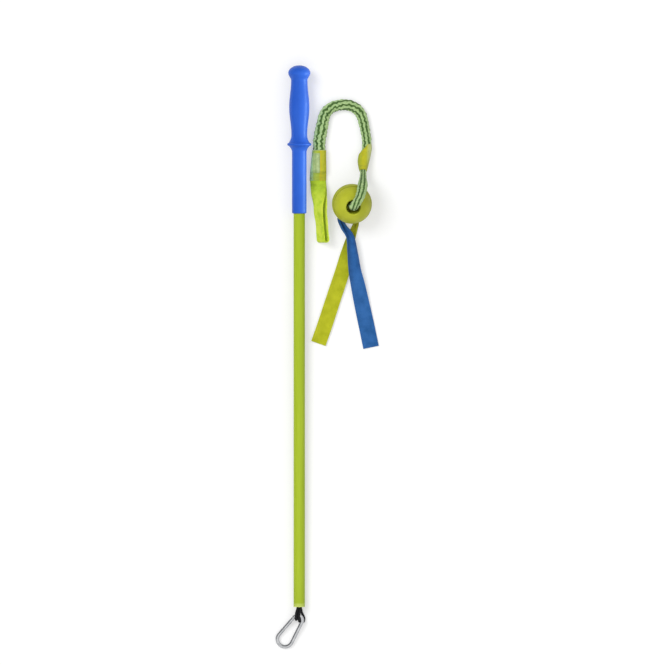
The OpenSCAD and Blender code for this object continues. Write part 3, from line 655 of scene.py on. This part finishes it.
def grip_outline():
    """The grip's outline from its crown: dome, waist, guard, sleeve, and the lip at the tube.
    It is drawn as distances down from the crown and handed back as distances up from the pole's tip."""
    a = np.linspace(0.004, math.pi / 2, 26)
    dome = pairs(POMMEL_AT * (1 - np.cos(a)), POMMEL_R * np.sin(a))
    at, r = [POMMEL_AT, NECK_AT, SWELL_AT, WRIST_AT], [POMMEL_R, NECK_R, SWELL_R, WRIST_R]
    f = np.linspace(0, 1, 25)[1:]
    swing = (1 - np.cos(math.pi * f)) / 2
    waist = [pairs(at[k] + (at[k + 1] - at[k]) * f, r[k] + (r[k + 1] - r[k]) * swing) for k in range(3)]
    root, half = GUARD_R - RIM_T / 2, RIM_T / 2
    flare = pairs(WRIST_AT + (GUARD_AT - half - WRIST_AT) * f, WRIST_R + (root - WRIST_R) * f ** 2)
    b = np.linspace(0, math.pi, 25)[1:]
    rim = pairs(GUARD_AT - half * np.cos(b), root + half * np.sin(b))
    taper = pairs(GUARD_AT + half + (TAPER_AT - GUARD_AT - half) * f,
                  SLEEVE_R + (root - SLEEVE_R) * (1 - f) ** 2)
    c = np.linspace(0, math.pi / 2, 9)
    end = pairs(GRIP_LEN - SLEEVE_ROUND * (1 - np.sin(c)), SLEEVE_R - SLEEVE_ROUND * (1 - np.cos(c)))
    lip = [[GRIP_LEN, TUBE_R + GRIP_ROOM], [CROWN_WALL, TUBE_R + GRIP_ROOM], [CROWN_WALL, HAIR]]
    outline = np.concatenate([dome, *waist, flare, rim, taper, end, lip])
    return pairs(POLE_LEN - outline[:, 0], outline[:, 1])


def make_grip():
    grip = lathe("grip_body", grip_outline(), POLE_TIP, POLE_LINE, grip_finish)
    stand_in(grip, "grip", "pole")
    return grip


def make_tube():
    """The tube, with its two edges rounded. A ring above the lower edge keeps the shading straight."""
    top, low = POLE_LEN - CROWN_WALL - FLANGE_H, FLANGE_H
    outline = [[low + TUBE_EDGE, TUBE_R], [low + TUBE_EVEN, TUBE_R], [top - TUBE_EDGE, TUBE_R],
               [top, TUBE_R - TUBE_EDGE], [top, TUBE_IN_R], [low, TUBE_IN_R], [low, TUBE_R - TUBE_EDGE]]
    tube = lathe("lime_tube", outline, POLE_TIP, POLE_LINE, tube_finish, closed=True)
    stand_in(tube, "pole_tube", "pole")


def strand_route(side):
    """One strand of the tip cord: out of the plug above the axis, over the wire, and home below the axis."""
    x, layer = side * STRAND_OFF, np.array([0, 0, STRAND_OFF])
    mouth = POLE_TIP + [x, 0, 0]
    inner = mouth + POLE_LINE * CORD_IN
    half_in = (inner + mouth) / 2
    drop = math.sqrt(RING_R ** 2 - x ** 2)
    wire = np.array([HOOK_CENTRE[0] + x, HOOK_CENTRE[1] + drop, POLE_TIP[2]])
    angles, home = ([0, 30, 60, 90], UNDER_WIRE) if side < 0 else ([0, 30, 60], ROUND_WIRE)
    over = [wire + [0, (INSIDE_WIRE - drop) * math.sin(a), OVER_WIRE * math.cos(a)] for a in np.radians(angles)]
    return np.array([inner + layer, half_in + layer, mouth + layer, (mouth + layer + over[0]) / 2, *over, *home,
                     (home[-1] + mouth - layer) / 2, mouth - layer, half_in - layer, inner - layer])


def make_tip_cord():
    """Two braided strands: crossing plaits on a round cord, which is fuller where nothing squeezes it."""
    for name, side in (("cord_left", -1), ("cord_right", 1)):
        route = strand_route(side)
        line, run = even_walk(route, 300)
        across, rise = course_frames(line, (1, 0, 1))
        turn = turns(48)
        lay = TURN * run[:, None] / PLAIT_PITCH
        plait = np.abs(np.sin(4 * turn + lay)) * np.abs(np.sin(4 * turn - lay))
        upper = ease((line[:, 2:] - POLE_TIP[2]) / FULLER_UP) * ease((POLE_TIP[1] - line[:, 1:2]) / FULLER_OUT)
        r = CORD_D / 2 * (0.93 + 0.14 * plait + 0.12 * upper)[..., None]
        rings = around(line, across, rise, turn, r)
        cord = skin(name, rings, TURN * CORD_D / 2, run, cord_finish)
        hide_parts("tip_cord")
        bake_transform(cord)


def wound_knot(name, foot, axis, radius, length, material, lays=5):
    """A pulled-tight knot: a rounded lump with slanting lays round it."""
    h, columns = np.linspace(-0.98, 0.98, 60), 96
    axis, spokes = spokes_about(axis, columns)
    lay = np.abs(np.cos(lays * turns(columns) / 2 + 5 * h[:, None]))
    r = radius * (1 - np.abs(h[:, None]) ** 3) ** 0.5 * (0.86 + 0.14 * lay ** 0.6)
    rings = foot + (h[:, None, None] + 1) / 2 * length * axis + r[..., None] * spokes
    return skin(name, rings, 1.0, h * length / 2, material)


def make_cord_knot():
    foot = POLE_TIP + POLE_LINE * CORD_KNOT_AT
    knot = wound_knot("cord_end_knot", foot, POLE_LINE, CORD_KNOT_R, CORD_KNOT_LEN, cord_finish)
    stand_in(knot, "cord_knot", "pole")


def dress_cad_nodes():
    """The nodes whose CAD shape is right keep it and get a finish."""
    for node, finish in (("top_plug", plug_finish), ("tip_plug", plug_finish), ("hook_body", chrome_finish),
                         ("hook_gate", chrome_finish), ("gate_rivet", steel_finish), ("latch_pin", steel_finish),
                         ("gate_plunger", steel_finish)):
        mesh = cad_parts[node].data
        mesh.materials.clear()
        mesh.materials.append(finish)


def make_spring():
    """A coil from the plunger to the end of its bore in the gate."""
    way = unit(SPRING_TO - SPRING_FROM)
    side = unit(np.cross(way, [0, 0, 1]))
    rise = np.cross(side, way)
    wire_r = SPRING_WIRE_D / 2
    t = np.linspace(0, 1, 40 * SPRING_CURLS)
    a = TURN * SPRING_CURLS * t[:, None]
    spokes = np.cos(a) * side + np.sin(a) * rise
    start, end = SPRING_FROM + way * wire_r, SPRING_TO - way * wire_r
    line = start + (end - start) * t[:, None] + SPRING_R * spokes
    ahead = unit(np.gradient(line, axis=0))
    rings = around(line, spokes, np.cross(ahead, spokes), turns(12), wire_r)
    spring = skin("gate_coil", rings, TURN * wire_r, a[:, 0] * SPRING_R, steel_finish)
    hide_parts("gate_spring")
    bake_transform(spring)


# Lure

def gathered_cover(name, route, widths, across, phase, finish, rings=380, columns=96):
    """Tubular webbing gathered on its elastic: lobes and fine puckers on its back, and nearly even edges.
    u goes by the seen width, so that the stripes look equally wide from above."""
    line, run = even_walk(route, rings)
    side, rise = course_frames(line, across)
    turn = np.linspace(0, TURN, columns + 1)
    u = np.where(turn <= math.pi, (1 - np.cos(turn)) / 4, 0.5 + (1 + np.cos(turn)) / 4)
    turn = turn[:-1]
    beat = (TURN * run / GATHER_PITCH + phase)[:, None]
    free = end_fade(run, GATHER_FADE)[:, None]
    lobe = 0.09 * np.cos(2 * beat + 1.5 * np.cos(turn)) + 0.05 * np.sin(beat + 2 * np.sin(turn) + 1)
    pucker = 0.03 * np.sin(5.3 * beat + 3 * np.sin(2 * turn)) + 0.02 * np.sin(9.1 * beat - 4 * np.cos(3 * turn))
    relief = free * (lobe + pucker)
    half_w = COVER_W * smooth_curve(widths, run / run[-1])[:, None] / 2
    x = half_w * np.cos(turn) * (1 - 0.02 * free + 0.45 * relief)
    z = COVER_T / 2 * np.sin(turn) * np.minimum(1 - 0.06 * free + relief, 1.05)
    return skin(name, laid_out(line, side, x, rise, z), u, run, finish), line, float(run[-1])


def elastic_core(name, route, across):
    line, run = even_walk(route, 120)
    side, rise = course_frames(line, across)
    turn = turns(32)
    r = CORE_D / 2 * (0.96 + 0.04 * np.cos(8 * turn))
    return skin(name, around(line, side, rise, turn, r[:, None]), TURN * CORE_D / 2, run, core_finish)


def make_upper_bungee():
    """The upper length, with its cover's end inside the leaf-shaped sleeve's slanted mouth."""
    core = elastic_core("upper_elastic", UPPER_ROUTE, None)
    stand_in(core, "upper_core", "lure")
    route = np.concatenate([UPPER_ROUTE, LEAF_ROUTE[1:4]])
    cover, line, length = gathered_cover("upper_gathers", route, UPPER_WIDTHS, None, 0.0, cover_finish)
    stand_in(cover, "upper_cover", "lure")


def make_lower_bungee():
    """The lower length, stretched where it climbs from the sleeve."""
    core = elastic_core("lower_elastic", LOWER_ROUTE, LEFT)
    cover, line, length = gathered_cover("lower_gathers", LOWER_ROUTE, LOWER_WIDTHS, LEFT, 2.0, tail_finish,
                                         rings=320)
    for piece, node, slot in ((core, "lower_core", "core_elastic"), (cover, "lower_cover", "cover_green")):
        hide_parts(node)
        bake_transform(piece)


def cuff_section(along):
    """The cuff's thickness and width at a share of its length from the bungee."""
    flat = 1 - BAND_LEN / CUFF_LEN
    shut = ease((along - flat + SHUT_SHARE) / SHUT_SHARE)
    thick = CUFF_T + (SEAM_T - CUFF_T) * shut
    wide = CUFF_W + (SEAM_W - CUFF_W) * ease(along / flat)
    return thick, wide


def make_cuff():
    """The sewn sleeve: boxy over the bungee, with a lapped fold along its right side, and flat at its seam."""
    f, turn = np.linspace(0, 1, 150)[:, None], turns(144)
    thick, wide = cuff_section(f)
    lip = 0.82 + 0.18 * ease(f / 0.05)
    c, s = bow(np.cos(turn), BOX_POWER), bow(np.sin(turn), BOX_POWER)
    x = wide / 2 * (0.94 + 0.06 * lip) * c
    z = thick / 2 * FLAT_SHARE * (1 + s * (0.8 + 0.2 * lip))
    lap = LAP_H * ease((x - LAP_FROM) / LAP_STEP) * ease((LAP_TO - x) / LAP_SLOPE)
    lap = lap * (1 - ease((f - FOLD_END) / 0.1))
    crease = CREASE_H * np.sin(TURN * 3 * f) * np.sin(3 * x / CREASE_REACH) * ease((FOLD_END - f) / 0.1)
    dent = SEAM_DENT * sum(np.exp(-((f - at) / 0.012) ** 2) for at in SEAM_ROWS)
    z = z + (s > 0.5) * (lap + crease - dent)
    middle = CUFF_TOP + f * (CUFF_END - CUFF_TOP)
    y = np.broadcast_to(middle[:, 1:2], x.shape)
    points = np.stack([middle[:, :1] + x, y, np.maximum(z, HAIR)], axis=-1)
    cuff = skin("sewn_cuff", points, CUFF_GIRTH, f * CUFF_LEN, cuff_finish)
    stand_in(cuff, "loop_cuff", "lure")


def make_label():
    """A blank woven tag, its ends turned under, lying on the cuff left of its fold."""
    f, turn = np.linspace(0, 1, 60)[:, None], turns(40)
    centre_x = CUFF_TOP[0] - LABEL_LEFT * CUFF_W
    y = CUFF_TOP[1] - LABEL_DOWN * CUFF_LEN - LABEL_LEN * f
    thick, _ = cuff_section((CUFF_TOP[1] - y) / CUFF_LEN)
    puff = 1 + 0.5 * (np.exp(-(f / 0.05) ** 2) + np.exp(-((1 - f) / 0.05) ** 2))
    x = LABEL_W / 2 * bow(np.cos(turn), LABEL_POWER) * (0.985 + 0.015 * np.cos(TURN * f))
    z = thick * FLAT_SHARE + LABEL_T / 2 * (1 + bow(np.sin(turn), LABEL_POWER) * puff)
    points = np.stack([centre_x + x, np.broadcast_to(y, x.shape), z], axis=-1)
    label = skin("blank_tag", points, LABEL_GIRTH, f * LABEL_LEN, label_finish)
    stand_in(label, "blank_label", "lure")


def stitch_tree():
    """A Geometry Nodes tree: a row of rounded stitches from one place to another."""
    tree = bpy.data.node_groups.new("stitch_row", "GeometryNodeTree")
    kinds = {"Start": "NodeSocketVector", "End": "NodeSocketVector", "Count": "NodeSocketInt",
             "Stitch": "NodeSocketVector", "Seed": "NodeSocketInt"}
    sockets = {name: tree.interface.new_socket(name=name, in_out="INPUT", socket_type=kind).identifier
               for name, kind in kinds.items()}
    tree.interface.new_socket(name="Geometry", in_out="OUTPUT", socket_type="NodeSocketGeometry")
    n = Nodes(tree)
    given = n.node("NodeGroupInput").outputs
    line = n.node("GeometryNodeMeshLine", {"Count": given["Count"], "Start Location": given["Start"],
                                           "Offset": given["End"]}, mode="END_POINTS").outputs["Mesh"]
    way = n.node("ShaderNodeVectorMath", {0: given["End"], 1: given["Start"]}, operation="SUBTRACT").outputs[0]
    bead = n.node("GeometryNodeMeshUVSphere", {"Segments": 10, "Rings": 7, "Radius": 0.5}).outputs["Mesh"]
    shape = n.node("GeometryNodeTransform", {"Geometry": bead, "Scale": given["Stitch"]}).outputs["Geometry"]
    turned = n.node("FunctionNodeAlignRotationToVector", {"Vector": way}, axis="X").outputs[0]
    sizes = n.node("FunctionNodeRandomValue", {2: 0.9, 3: 1.06, "Seed": given["Seed"]},
                   data_type="FLOAT").outputs[1]
    made = n.node("GeometryNodeInstanceOnPoints", {"Points": line, "Instance": shape, "Rotation": turned,
                                                   "Scale": sizes}).outputs["Instances"]
    for kind, inputs in (("GeometryNodeSetShadeSmooth", {}), ("GeometryNodeRealizeInstances", {}),
                         ("GeometryNodeSetMaterial", {"Material": thread_finish})):
        made = n.node(kind, {"Geometry": made, **inputs}).outputs["Geometry"]
    n.node("NodeGroupOutput", {"Geometry": made})
    return tree, sockets


def stitch_rows(name, rows, node_name):
    """Rows of stitches, each (start, end, count), as one plain mesh on the lure."""
    made = []
    for number, (start, end, count) in enumerate(rows):
        holder = placed(f"{name}_{number}", bpy.data.meshes.new(f"{name}_{number}"))
        row = holder.modifiers.new("row", "NODES")
        row.node_group = STITCHES
        for socket, value in (("Start", [float(c) for c in start]), ("End", [float(c) for c in end]),
                              ("Count", count), ("Stitch", STITCH_SIZE), ("Seed", number)):
            row[STITCH_SOCKETS[socket]] = value
        view = bpy.context.evaluated_depsgraph_get()
        mesh = bpy.data.meshes.new_from_object(holder.evaluated_get(view))
        bpy.data.objects.remove(holder)
        made.append(finished(f"{name}_row_{number}", mesh, thread_finish))
    stand_in(joined(name, made), node_name, "lure")


def make_stitches():
    seam_top = SEAM_T * FLAT_SHARE - STITCH_SINK
    rows = []
    for share in (1 / 3, 2 / 3):
        y = CUFF_END[1] + BAND_LEN * share
        rows.append(((CUFF_END[0] - SEAM_HALF, y, seam_top), (CUFF_END[0] + SEAM_HALF, y, seam_top), 8))
    stitch_rows("seam_thread", rows, "cuff_stitches")
    rows = []
    for shares in LEAF_ROWS:
        ends = []
        for share, q in zip(shares, (-LEAF_ROW_HALF, LEAF_ROW_HALF)):
            middle, side, rise, _ = leaf_place(share)
            ends.append(middle + side * q + rise * (LEAF_T / 2 * FLAT_SHARE + STITCH_LIFT))
        rows.append((*ends, 4))
    stitch_rows("leaf_thread", rows, "leaf_stitches")


def leaf_place(share):
    """A place on the leaf-shaped sleeve's middle line, the ways to its left and up, and the line's length."""
    line, run = even_walk(LEAF_ROUTE, 400)
    side, rise = course_frames(line, LEFT)
    return *(read_off(share, run / run[-1], values) for values in (line, side, rise)), float(run[-1])


def make_leaf():
    """The leaf-shaped sleeve: a mouth cut on a slant, a lower end drawn in, a soft ridge along its middle."""
    f, turn = np.linspace(0, 1, 130)[:, None], turns(120)
    c, s = bow(np.cos(turn), LEAF_POWER), bow(np.sin(turn), LEAF_POWER)
    mouth = LEAF_SLANT * np.clip((c + 0.2) / 1.2, 0, 1) ** 1.3
    share = mouth + (1 - mouth) * f
    middle, side, rise, length = leaf_place(share)
    lip = 0.9 + 0.1 * ease((1 - f) / 0.06)
    ridge = 0.08 * np.exp(-(c / 0.22) ** 2) * (s > 0) * np.sin(math.pi * f)
    tuck = 0.03 * np.sin(9 * turn + 14 * f) * np.exp(-((1 - f) / 0.16) ** 2)
    x = LEAF_W / 2 * smooth_curve(LEAF_WIDTHS, share) * c * (lip + tuck)
    z = LEAF_T / 2 * s * (lip + ridge + tuck)
    points = middle + x[..., None] * side + z[..., None] * rise
    v = np.concatenate([share, share[:, :1]], axis=1) * length
    leaf = skin("leaf_cloth", points, LEAF_GIRTH, v, leaf_finish)
    stand_in(leaf, "leaf_sleeve", "lure")


def band_section(columns=25):
    """The outline of a flat band: across from -1 to 1, and out from -1 to 1, with rounded edges."""
    q = np.linspace(-1, 1, columns)
    t = (1 - q ** 10) ** 0.5 * 0.8 + 0.2
    return np.concatenate([q, q[::-1]]), np.concatenate([t, -t[::-1]])


def make_hand_loop():
    """One band of webbing from the seam, round a fold and back, twisted half on edge."""
    seam_z = SEAM_T / 2 * FLAT_SHARE
    start = np.array([CUFF_END[0], CUFF_END[1] + LOOP_LAP, 0])

    def roll(t):
        return LOOP_TWIST * smooth_curve(TWIST_SHARES, t)

    def half(t):
        return (LOOP_GAP * smooth_curve(GAPE_SHARES, t) + WEBBING_T) / 2

    def low(t):
        return WEBBING_W / 2 * np.sin(roll(t)) + (half(t) + WEBBING_T / 2) * np.cos(roll(t))

    run = np.linspace(0, 1, 110)
    bend = np.linspace(0, math.pi, 40)[1:-1]
    t = np.concatenate([run, np.ones(len(bend)), run[::-1]])
    turn = np.concatenate([np.zeros(len(run)), bend, np.full(len(run), math.pi)])
    middle = np.stack([start[0] + LOOP_DRIFT * t, start[1] - (LOOP_LEN + LOOP_SPARE - half(1.0)) * t,
                       np.maximum(low(t), seam_z + (low(t) - seam_z) * np.minimum(t * 4, 1))], axis=1)
    across = np.stack([np.cos(roll(t)), 0 * t, np.sin(roll(t))], axis=1)
    up = np.stack([-np.sin(roll(t)), 0 * t, np.cos(roll(t))], axis=1)
    out = up * np.cos(turn)[:, None] + np.array([0, -1, 0]) * np.sin(turn)[:, None]
    ripple = RIPPLE_H * np.sin(TURN * 2.2 * t) * np.sin(math.pi * t) * (turn == 0)
    q, thick = band_section()
    edge_wave = EDGE_WAVE_H * np.sin(TURN * 3.1 * t)[:, None] * q ** 3 * np.sin(math.pi * t)[:, None]
    lift = half(t)[:, None] + ripple[:, None] + edge_wave + thick * WEBBING_T / 2
    points = middle[:, None] + q[:, None] * WEBBING_W / 2 * across[:, None] + lift[..., None] * out[:, None]
    v = distances(middle + out * half(t)[:, None])
    u = np.append(q, q[0]) * WEBBING_W / 2
    loop = skin("hand_webbing", points, u, v, webbing_finish)
    stand_in(loop, "hand_loop", "loop")


# Ball and streamers

def ball_outline():
    """The ball's section from its web's hole, up the mouth, over the ball with its groove, and up the pocket."""
    def rounded(radius, sign):
        """The rounded edge between a straight wall and the ball's outside."""
        centre_r = radius + BALL_LIP
        centre_u = math.sqrt((BALL_R - BALL_LIP) ** 2 - centre_r ** 2)
        out = math.atan2(centre_u, centre_r)
        a = np.linspace(math.pi, out, 9)
        return pairs(sign * (centre_u + BALL_LIP * np.sin(a)), centre_r + BALL_LIP * np.cos(a)), out

    mouth, mouth_end = rounded(MOUTH_R, 1)
    pocket, pocket_end = rounded(POCKET_R, -1)
    groove_turn = math.asin(GROOVE_UP / BALL_R)
    reach = 1.15 * GROOVE_R / BALL_R
    upper = np.linspace(mouth_end, groove_turn + reach, 40)[1:]
    lower = np.linspace(groove_turn - reach, -pocket_end, 56)[:-1]
    outwards = np.array([math.sin(groove_turn), math.cos(groove_turn)])
    upwards = np.array([math.cos(groove_turn), -math.sin(groove_turn)])
    dip = np.linspace(math.pi / 2, -math.pi / 2, 9)[:, None]

    def on_ball(a):
        return pairs(BALL_R * np.sin(a), BALL_R * np.cos(a))

    channel = (BALL_R - 0.12 * GROOVE_R) * outwards + GROOVE_R * (np.sin(dip) * upwards - np.cos(dip) * outwards)
    walls = [[WEB_LOW, WEB_HOLE_R], [WEB_TOP, WEB_HOLE_R], [WEB_TOP, MOUTH_R]]
    return np.concatenate([walls, mouth, on_ball(upper), channel, on_ball(lower), pocket[::-1],
                           [[WEB_LOW, POCKET_R]]])


def make_ball():
    ball = lathe("rubber_ball", ball_outline(), BALL_CENTRE, BALL_AXIS, ball_finish, columns=160, closed=True)
    stand_in(ball, "ball", "ball")


def make_stop():
    """The knot under the ball's web, and the wound tack that the streamers hang on."""
    foot = BALL_CENTRE + BALL_AXIS * (WEB_LOW - STOP_ROOM - STOP_LEN)
    knot = wound_knot("bungee_knot", foot, BALL_AXIS, STOP_R, STOP_LEN, cover_finish, lays=4)
    stand_in(knot, "stop_knot", "tail")
    f = np.linspace(0, 1, 90)
    radius = TACK_R * (0.93 + 0.07 * np.cos(TURN * TACK_WINDS * f))
    outline = pairs(TACK_LOW + (TACK_TOP - TACK_LOW) * f, radius)
    tack = lathe("wound_tack", outline, TACK_FOOT, (0, 0, 1), thread_finish, columns=48)
    stand_in(tack, "streamer_tack", "tail")


def curl_angle(width_share):
    """Half the angle of the curl that makes a strip look that much narrower: a trough, then a roll."""
    shares = np.sinc(np.linspace(0, 0.5, 200))
    angles = np.linspace(0, math.pi / 2, 200)
    opened = np.interp(-width_share, -shares, angles)
    return np.where(width_share > 2 / math.pi, opened, 1 / np.maximum(width_share, 0.2))


def streamer(name, course, heading, base, flatten, material, rows=240):
    """A strip that leaves its sewn end curled up lengthwise and opens flat towards its free end.
    base and flatten give the height of its underside and the share of its curl's height along it."""
    course = np.asarray(course, float)
    along = np.array([math.sin(heading), -math.cos(heading), 0])
    left = np.array([-math.cos(heading), -math.sin(heading), 0])
    root = TACK_FOOT + unit(along * course[1, 0] + left * course[1, 1]) * ROOT_R
    points = root + (along * course[:, :1] + left * course[:, 1:2]) * STREAMER_LEN
    fine = np.linspace(0, 1, FINE_STEPS)
    dense = smooth_curve(points, fine)
    gone = distances(dense)
    run = np.linspace(0, gone[-1], rows)
    line = read_off(run, gone, dense)
    share = np.clip(np.interp(run, gone, smooth_curve(course[:, 2], fine)), 0.28, 0.999)
    side, _ = course_frames(line)
    curl = np.maximum(curl_angle(share), 0.02)[:, None]
    open_up = flatten(run)[:, None]
    q, thick = band_section(41)
    radius = STREAMER_W / 2 / curl
    seen = STREAMER_W / 2 * share[:, None] * q
    body = ease((run - CURL_FROM) / CURL_OVER)[:, None]
    x = (1 - body) * seen + body * radius * np.sin(curl * q)
    z = body * open_up * radius * (1 - np.cos(curl * q))
    slope_x, slope_z = (1 - body) + body * np.cos(curl * q), body * open_up * np.sin(curl * q)
    size = np.sqrt(slope_x ** 2 + slope_z ** 2) + 1e-6
    half = STREAMER_T / 2 * 0.72 * thick
    wave = np.sin(TURN * run / FLUTTER_PITCH) * ease((run - FLUTTER_FROM) / FLUTTER_OVER)
    flutter = FLUTTER_H * wave[:, None] * np.sin(2.2 * q + 1)
    x = x - half * slope_z / size
    z = z + half * slope_x / size + STREAMER_T / 2 * 0.75 + base(run)[:, None] + np.abs(flutter)
    rings = laid_out(line, side, x, np.array([[0, 0, 1.0]]), z)
    return skin(name, rings, np.append(q, q[0]) * STREAMER_W / 2, run, material), float(run[-1])


def make_streamers():
    """The blue strip lies over the lime one where they cross, near the ball."""
    def blue_base(run):
        rise = BLUE_RISE * ease((run - RISE_FROM) / RISE_OVER)
        return BLUE_LOW + rise - BLUE_DROP * ease((run - DROP_FROM) / DROP_OVER)

    def lime_flat(run):
        return 0.3 + 0.5 * ease((run - LIME_OPEN_FROM) / LIME_OPEN_OVER)

    for name, course, heading, base, flatten, material, body, node, slot in (
            ("lime_strip", LIME_COURSE, LIME_HEADING, lambda run: 0 * run, lime_flat, lime_finish, "lime",
             "lime_streamer", "streamer_lime"),
            ("blue_strip", BLUE_COURSE, BLUE_HEADING, blue_base, lambda run: 0.9 + 0 * run, blue_finish, "blue",
             "blue_streamer", "streamer_blue")):
        strip, length = streamer(name, course, heading, base, flatten, material)
        stand_in(strip, node, body)


# Stage

def make_floor():
    """A pale floor that shows white to the camera and in reflections, and keeps the object's shadow."""
    mesh = bpy.data.meshes.new("floor")
    corners = [(x * FLOOR_HALF, y * FLOOR_HALF, FLOOR_Z) for x, y in ((-1, -1), (1, -1), (1, 1), (-1, 1))]
    mesh.from_pydata(corners, [], [(0, 1, 2, 3)])
    f = Finish("pale_floor", Roughness=0.9, Specular_IOR_Level=0.0)
    f.give("Base Color", (FLOOR_GREY, FLOOR_GREY, FLOOR_GREY, 1))
    path = f.node("ShaderNodeLightPath")
    seen = f.math("MAXIMUM", path.outputs["Is Camera Ray"],
                  f.math("MAXIMUM", path.outputs["Is Glossy Ray"], path.outputs["Is Transmission Ray"]))
    f.give("Emission Color", WHITE)
    f.give("Emission Strength", f.times(seen, FLOOR_GLOW))
    mesh.materials.append(f.material)
    placed("floor", mesh)


def make_world():
    """A pale dome, dim at the horizon and overhead, with a dark screen low at the upper left.
    The camera sees it as white."""
    world = bpy.data.worlds.new("studio")
    world.use_nodes = True
    bpy.context.scene.world = world
    n = Nodes(world.node_tree)
    way = n.node("ShaderNodeTexCoord").outputs["Generated"]
    dome = n.ramp(n.part(way, "Z"), (0.0, 0.2), (0.22, 0.3), (0.7, 1.0), (0.95, 1.0), (1.0, 0.4))
    screen = n.ramp(n.reach(way, SCREEN_WAY), (0.25, 1.0), (0.45, 0.22))
    light = n.mixed(1.0, dome, screen, "MULTIPLY")
    to_camera = n.node("ShaderNodeLightPath").outputs["Is Camera Ray"]
    background = n.tree.nodes["Background"]
    n.feed(background.inputs["Color"], n.mixed(to_camera, light, WHITE))
    n.feed(background.inputs["Strength"], 1.0)


def make_light(grip):
    """A soft key from the upper left, and a low strip from the right for the grip."""
    key = bpy.data.lights.new("key", "SUN")
    key.energy, key.angle = KEY_STRENGTH, KEY_ANGLE
    lamp = placed("key", key)
    lamp.rotation_euler = KEY_TURN
    lamp.visible_glossy = False
    strip = bpy.data.lights.new("strip", "AREA")
    strip.shape, strip.energy = "RECTANGLE", STRIP_WATTS
    strip.size, strip.size_y = STRIP_SIZE
    lamp = placed("strip", strip)
    lamp.location, lamp.rotation_euler = STRIP_AT, STRIP_TURN
    lit = bpy.data.collections.new("strip_lights")
    lit.objects.link(grip)
    lamp.light_linking.receiver_collection = lit
    lamp.light_linking.blocker_collection = lit


def make_camera():
    """Straight down on the photograph's square frame."""
    lens = bpy.data.cameras.new("camera")
    lens.type, lens.ortho_scale = "ORTHO", FRAME_WIDTH
    camera = placed("camera", lens)
    camera.location = (*FRAME_CENTRE, CAMERA_HEIGHT)
    bpy.context.scene.camera = camera


STITCHES, STITCH_SOCKETS = stitch_tree()
make_camera()
make_tip_cord()
make_upper_bungee()
make_lower_bungee()
grip = make_grip()
make_tube()
make_cord_knot()
dress_cad_nodes()
make_spring()
make_cuff()
make_label()
make_leaf()
make_stitches()
make_hand_loop()
make_ball()
make_stop()
make_streamers()
make_floor()
make_world()
make_light(grip)
bpy.context.scene.view_settings.view_transform = "Standard"
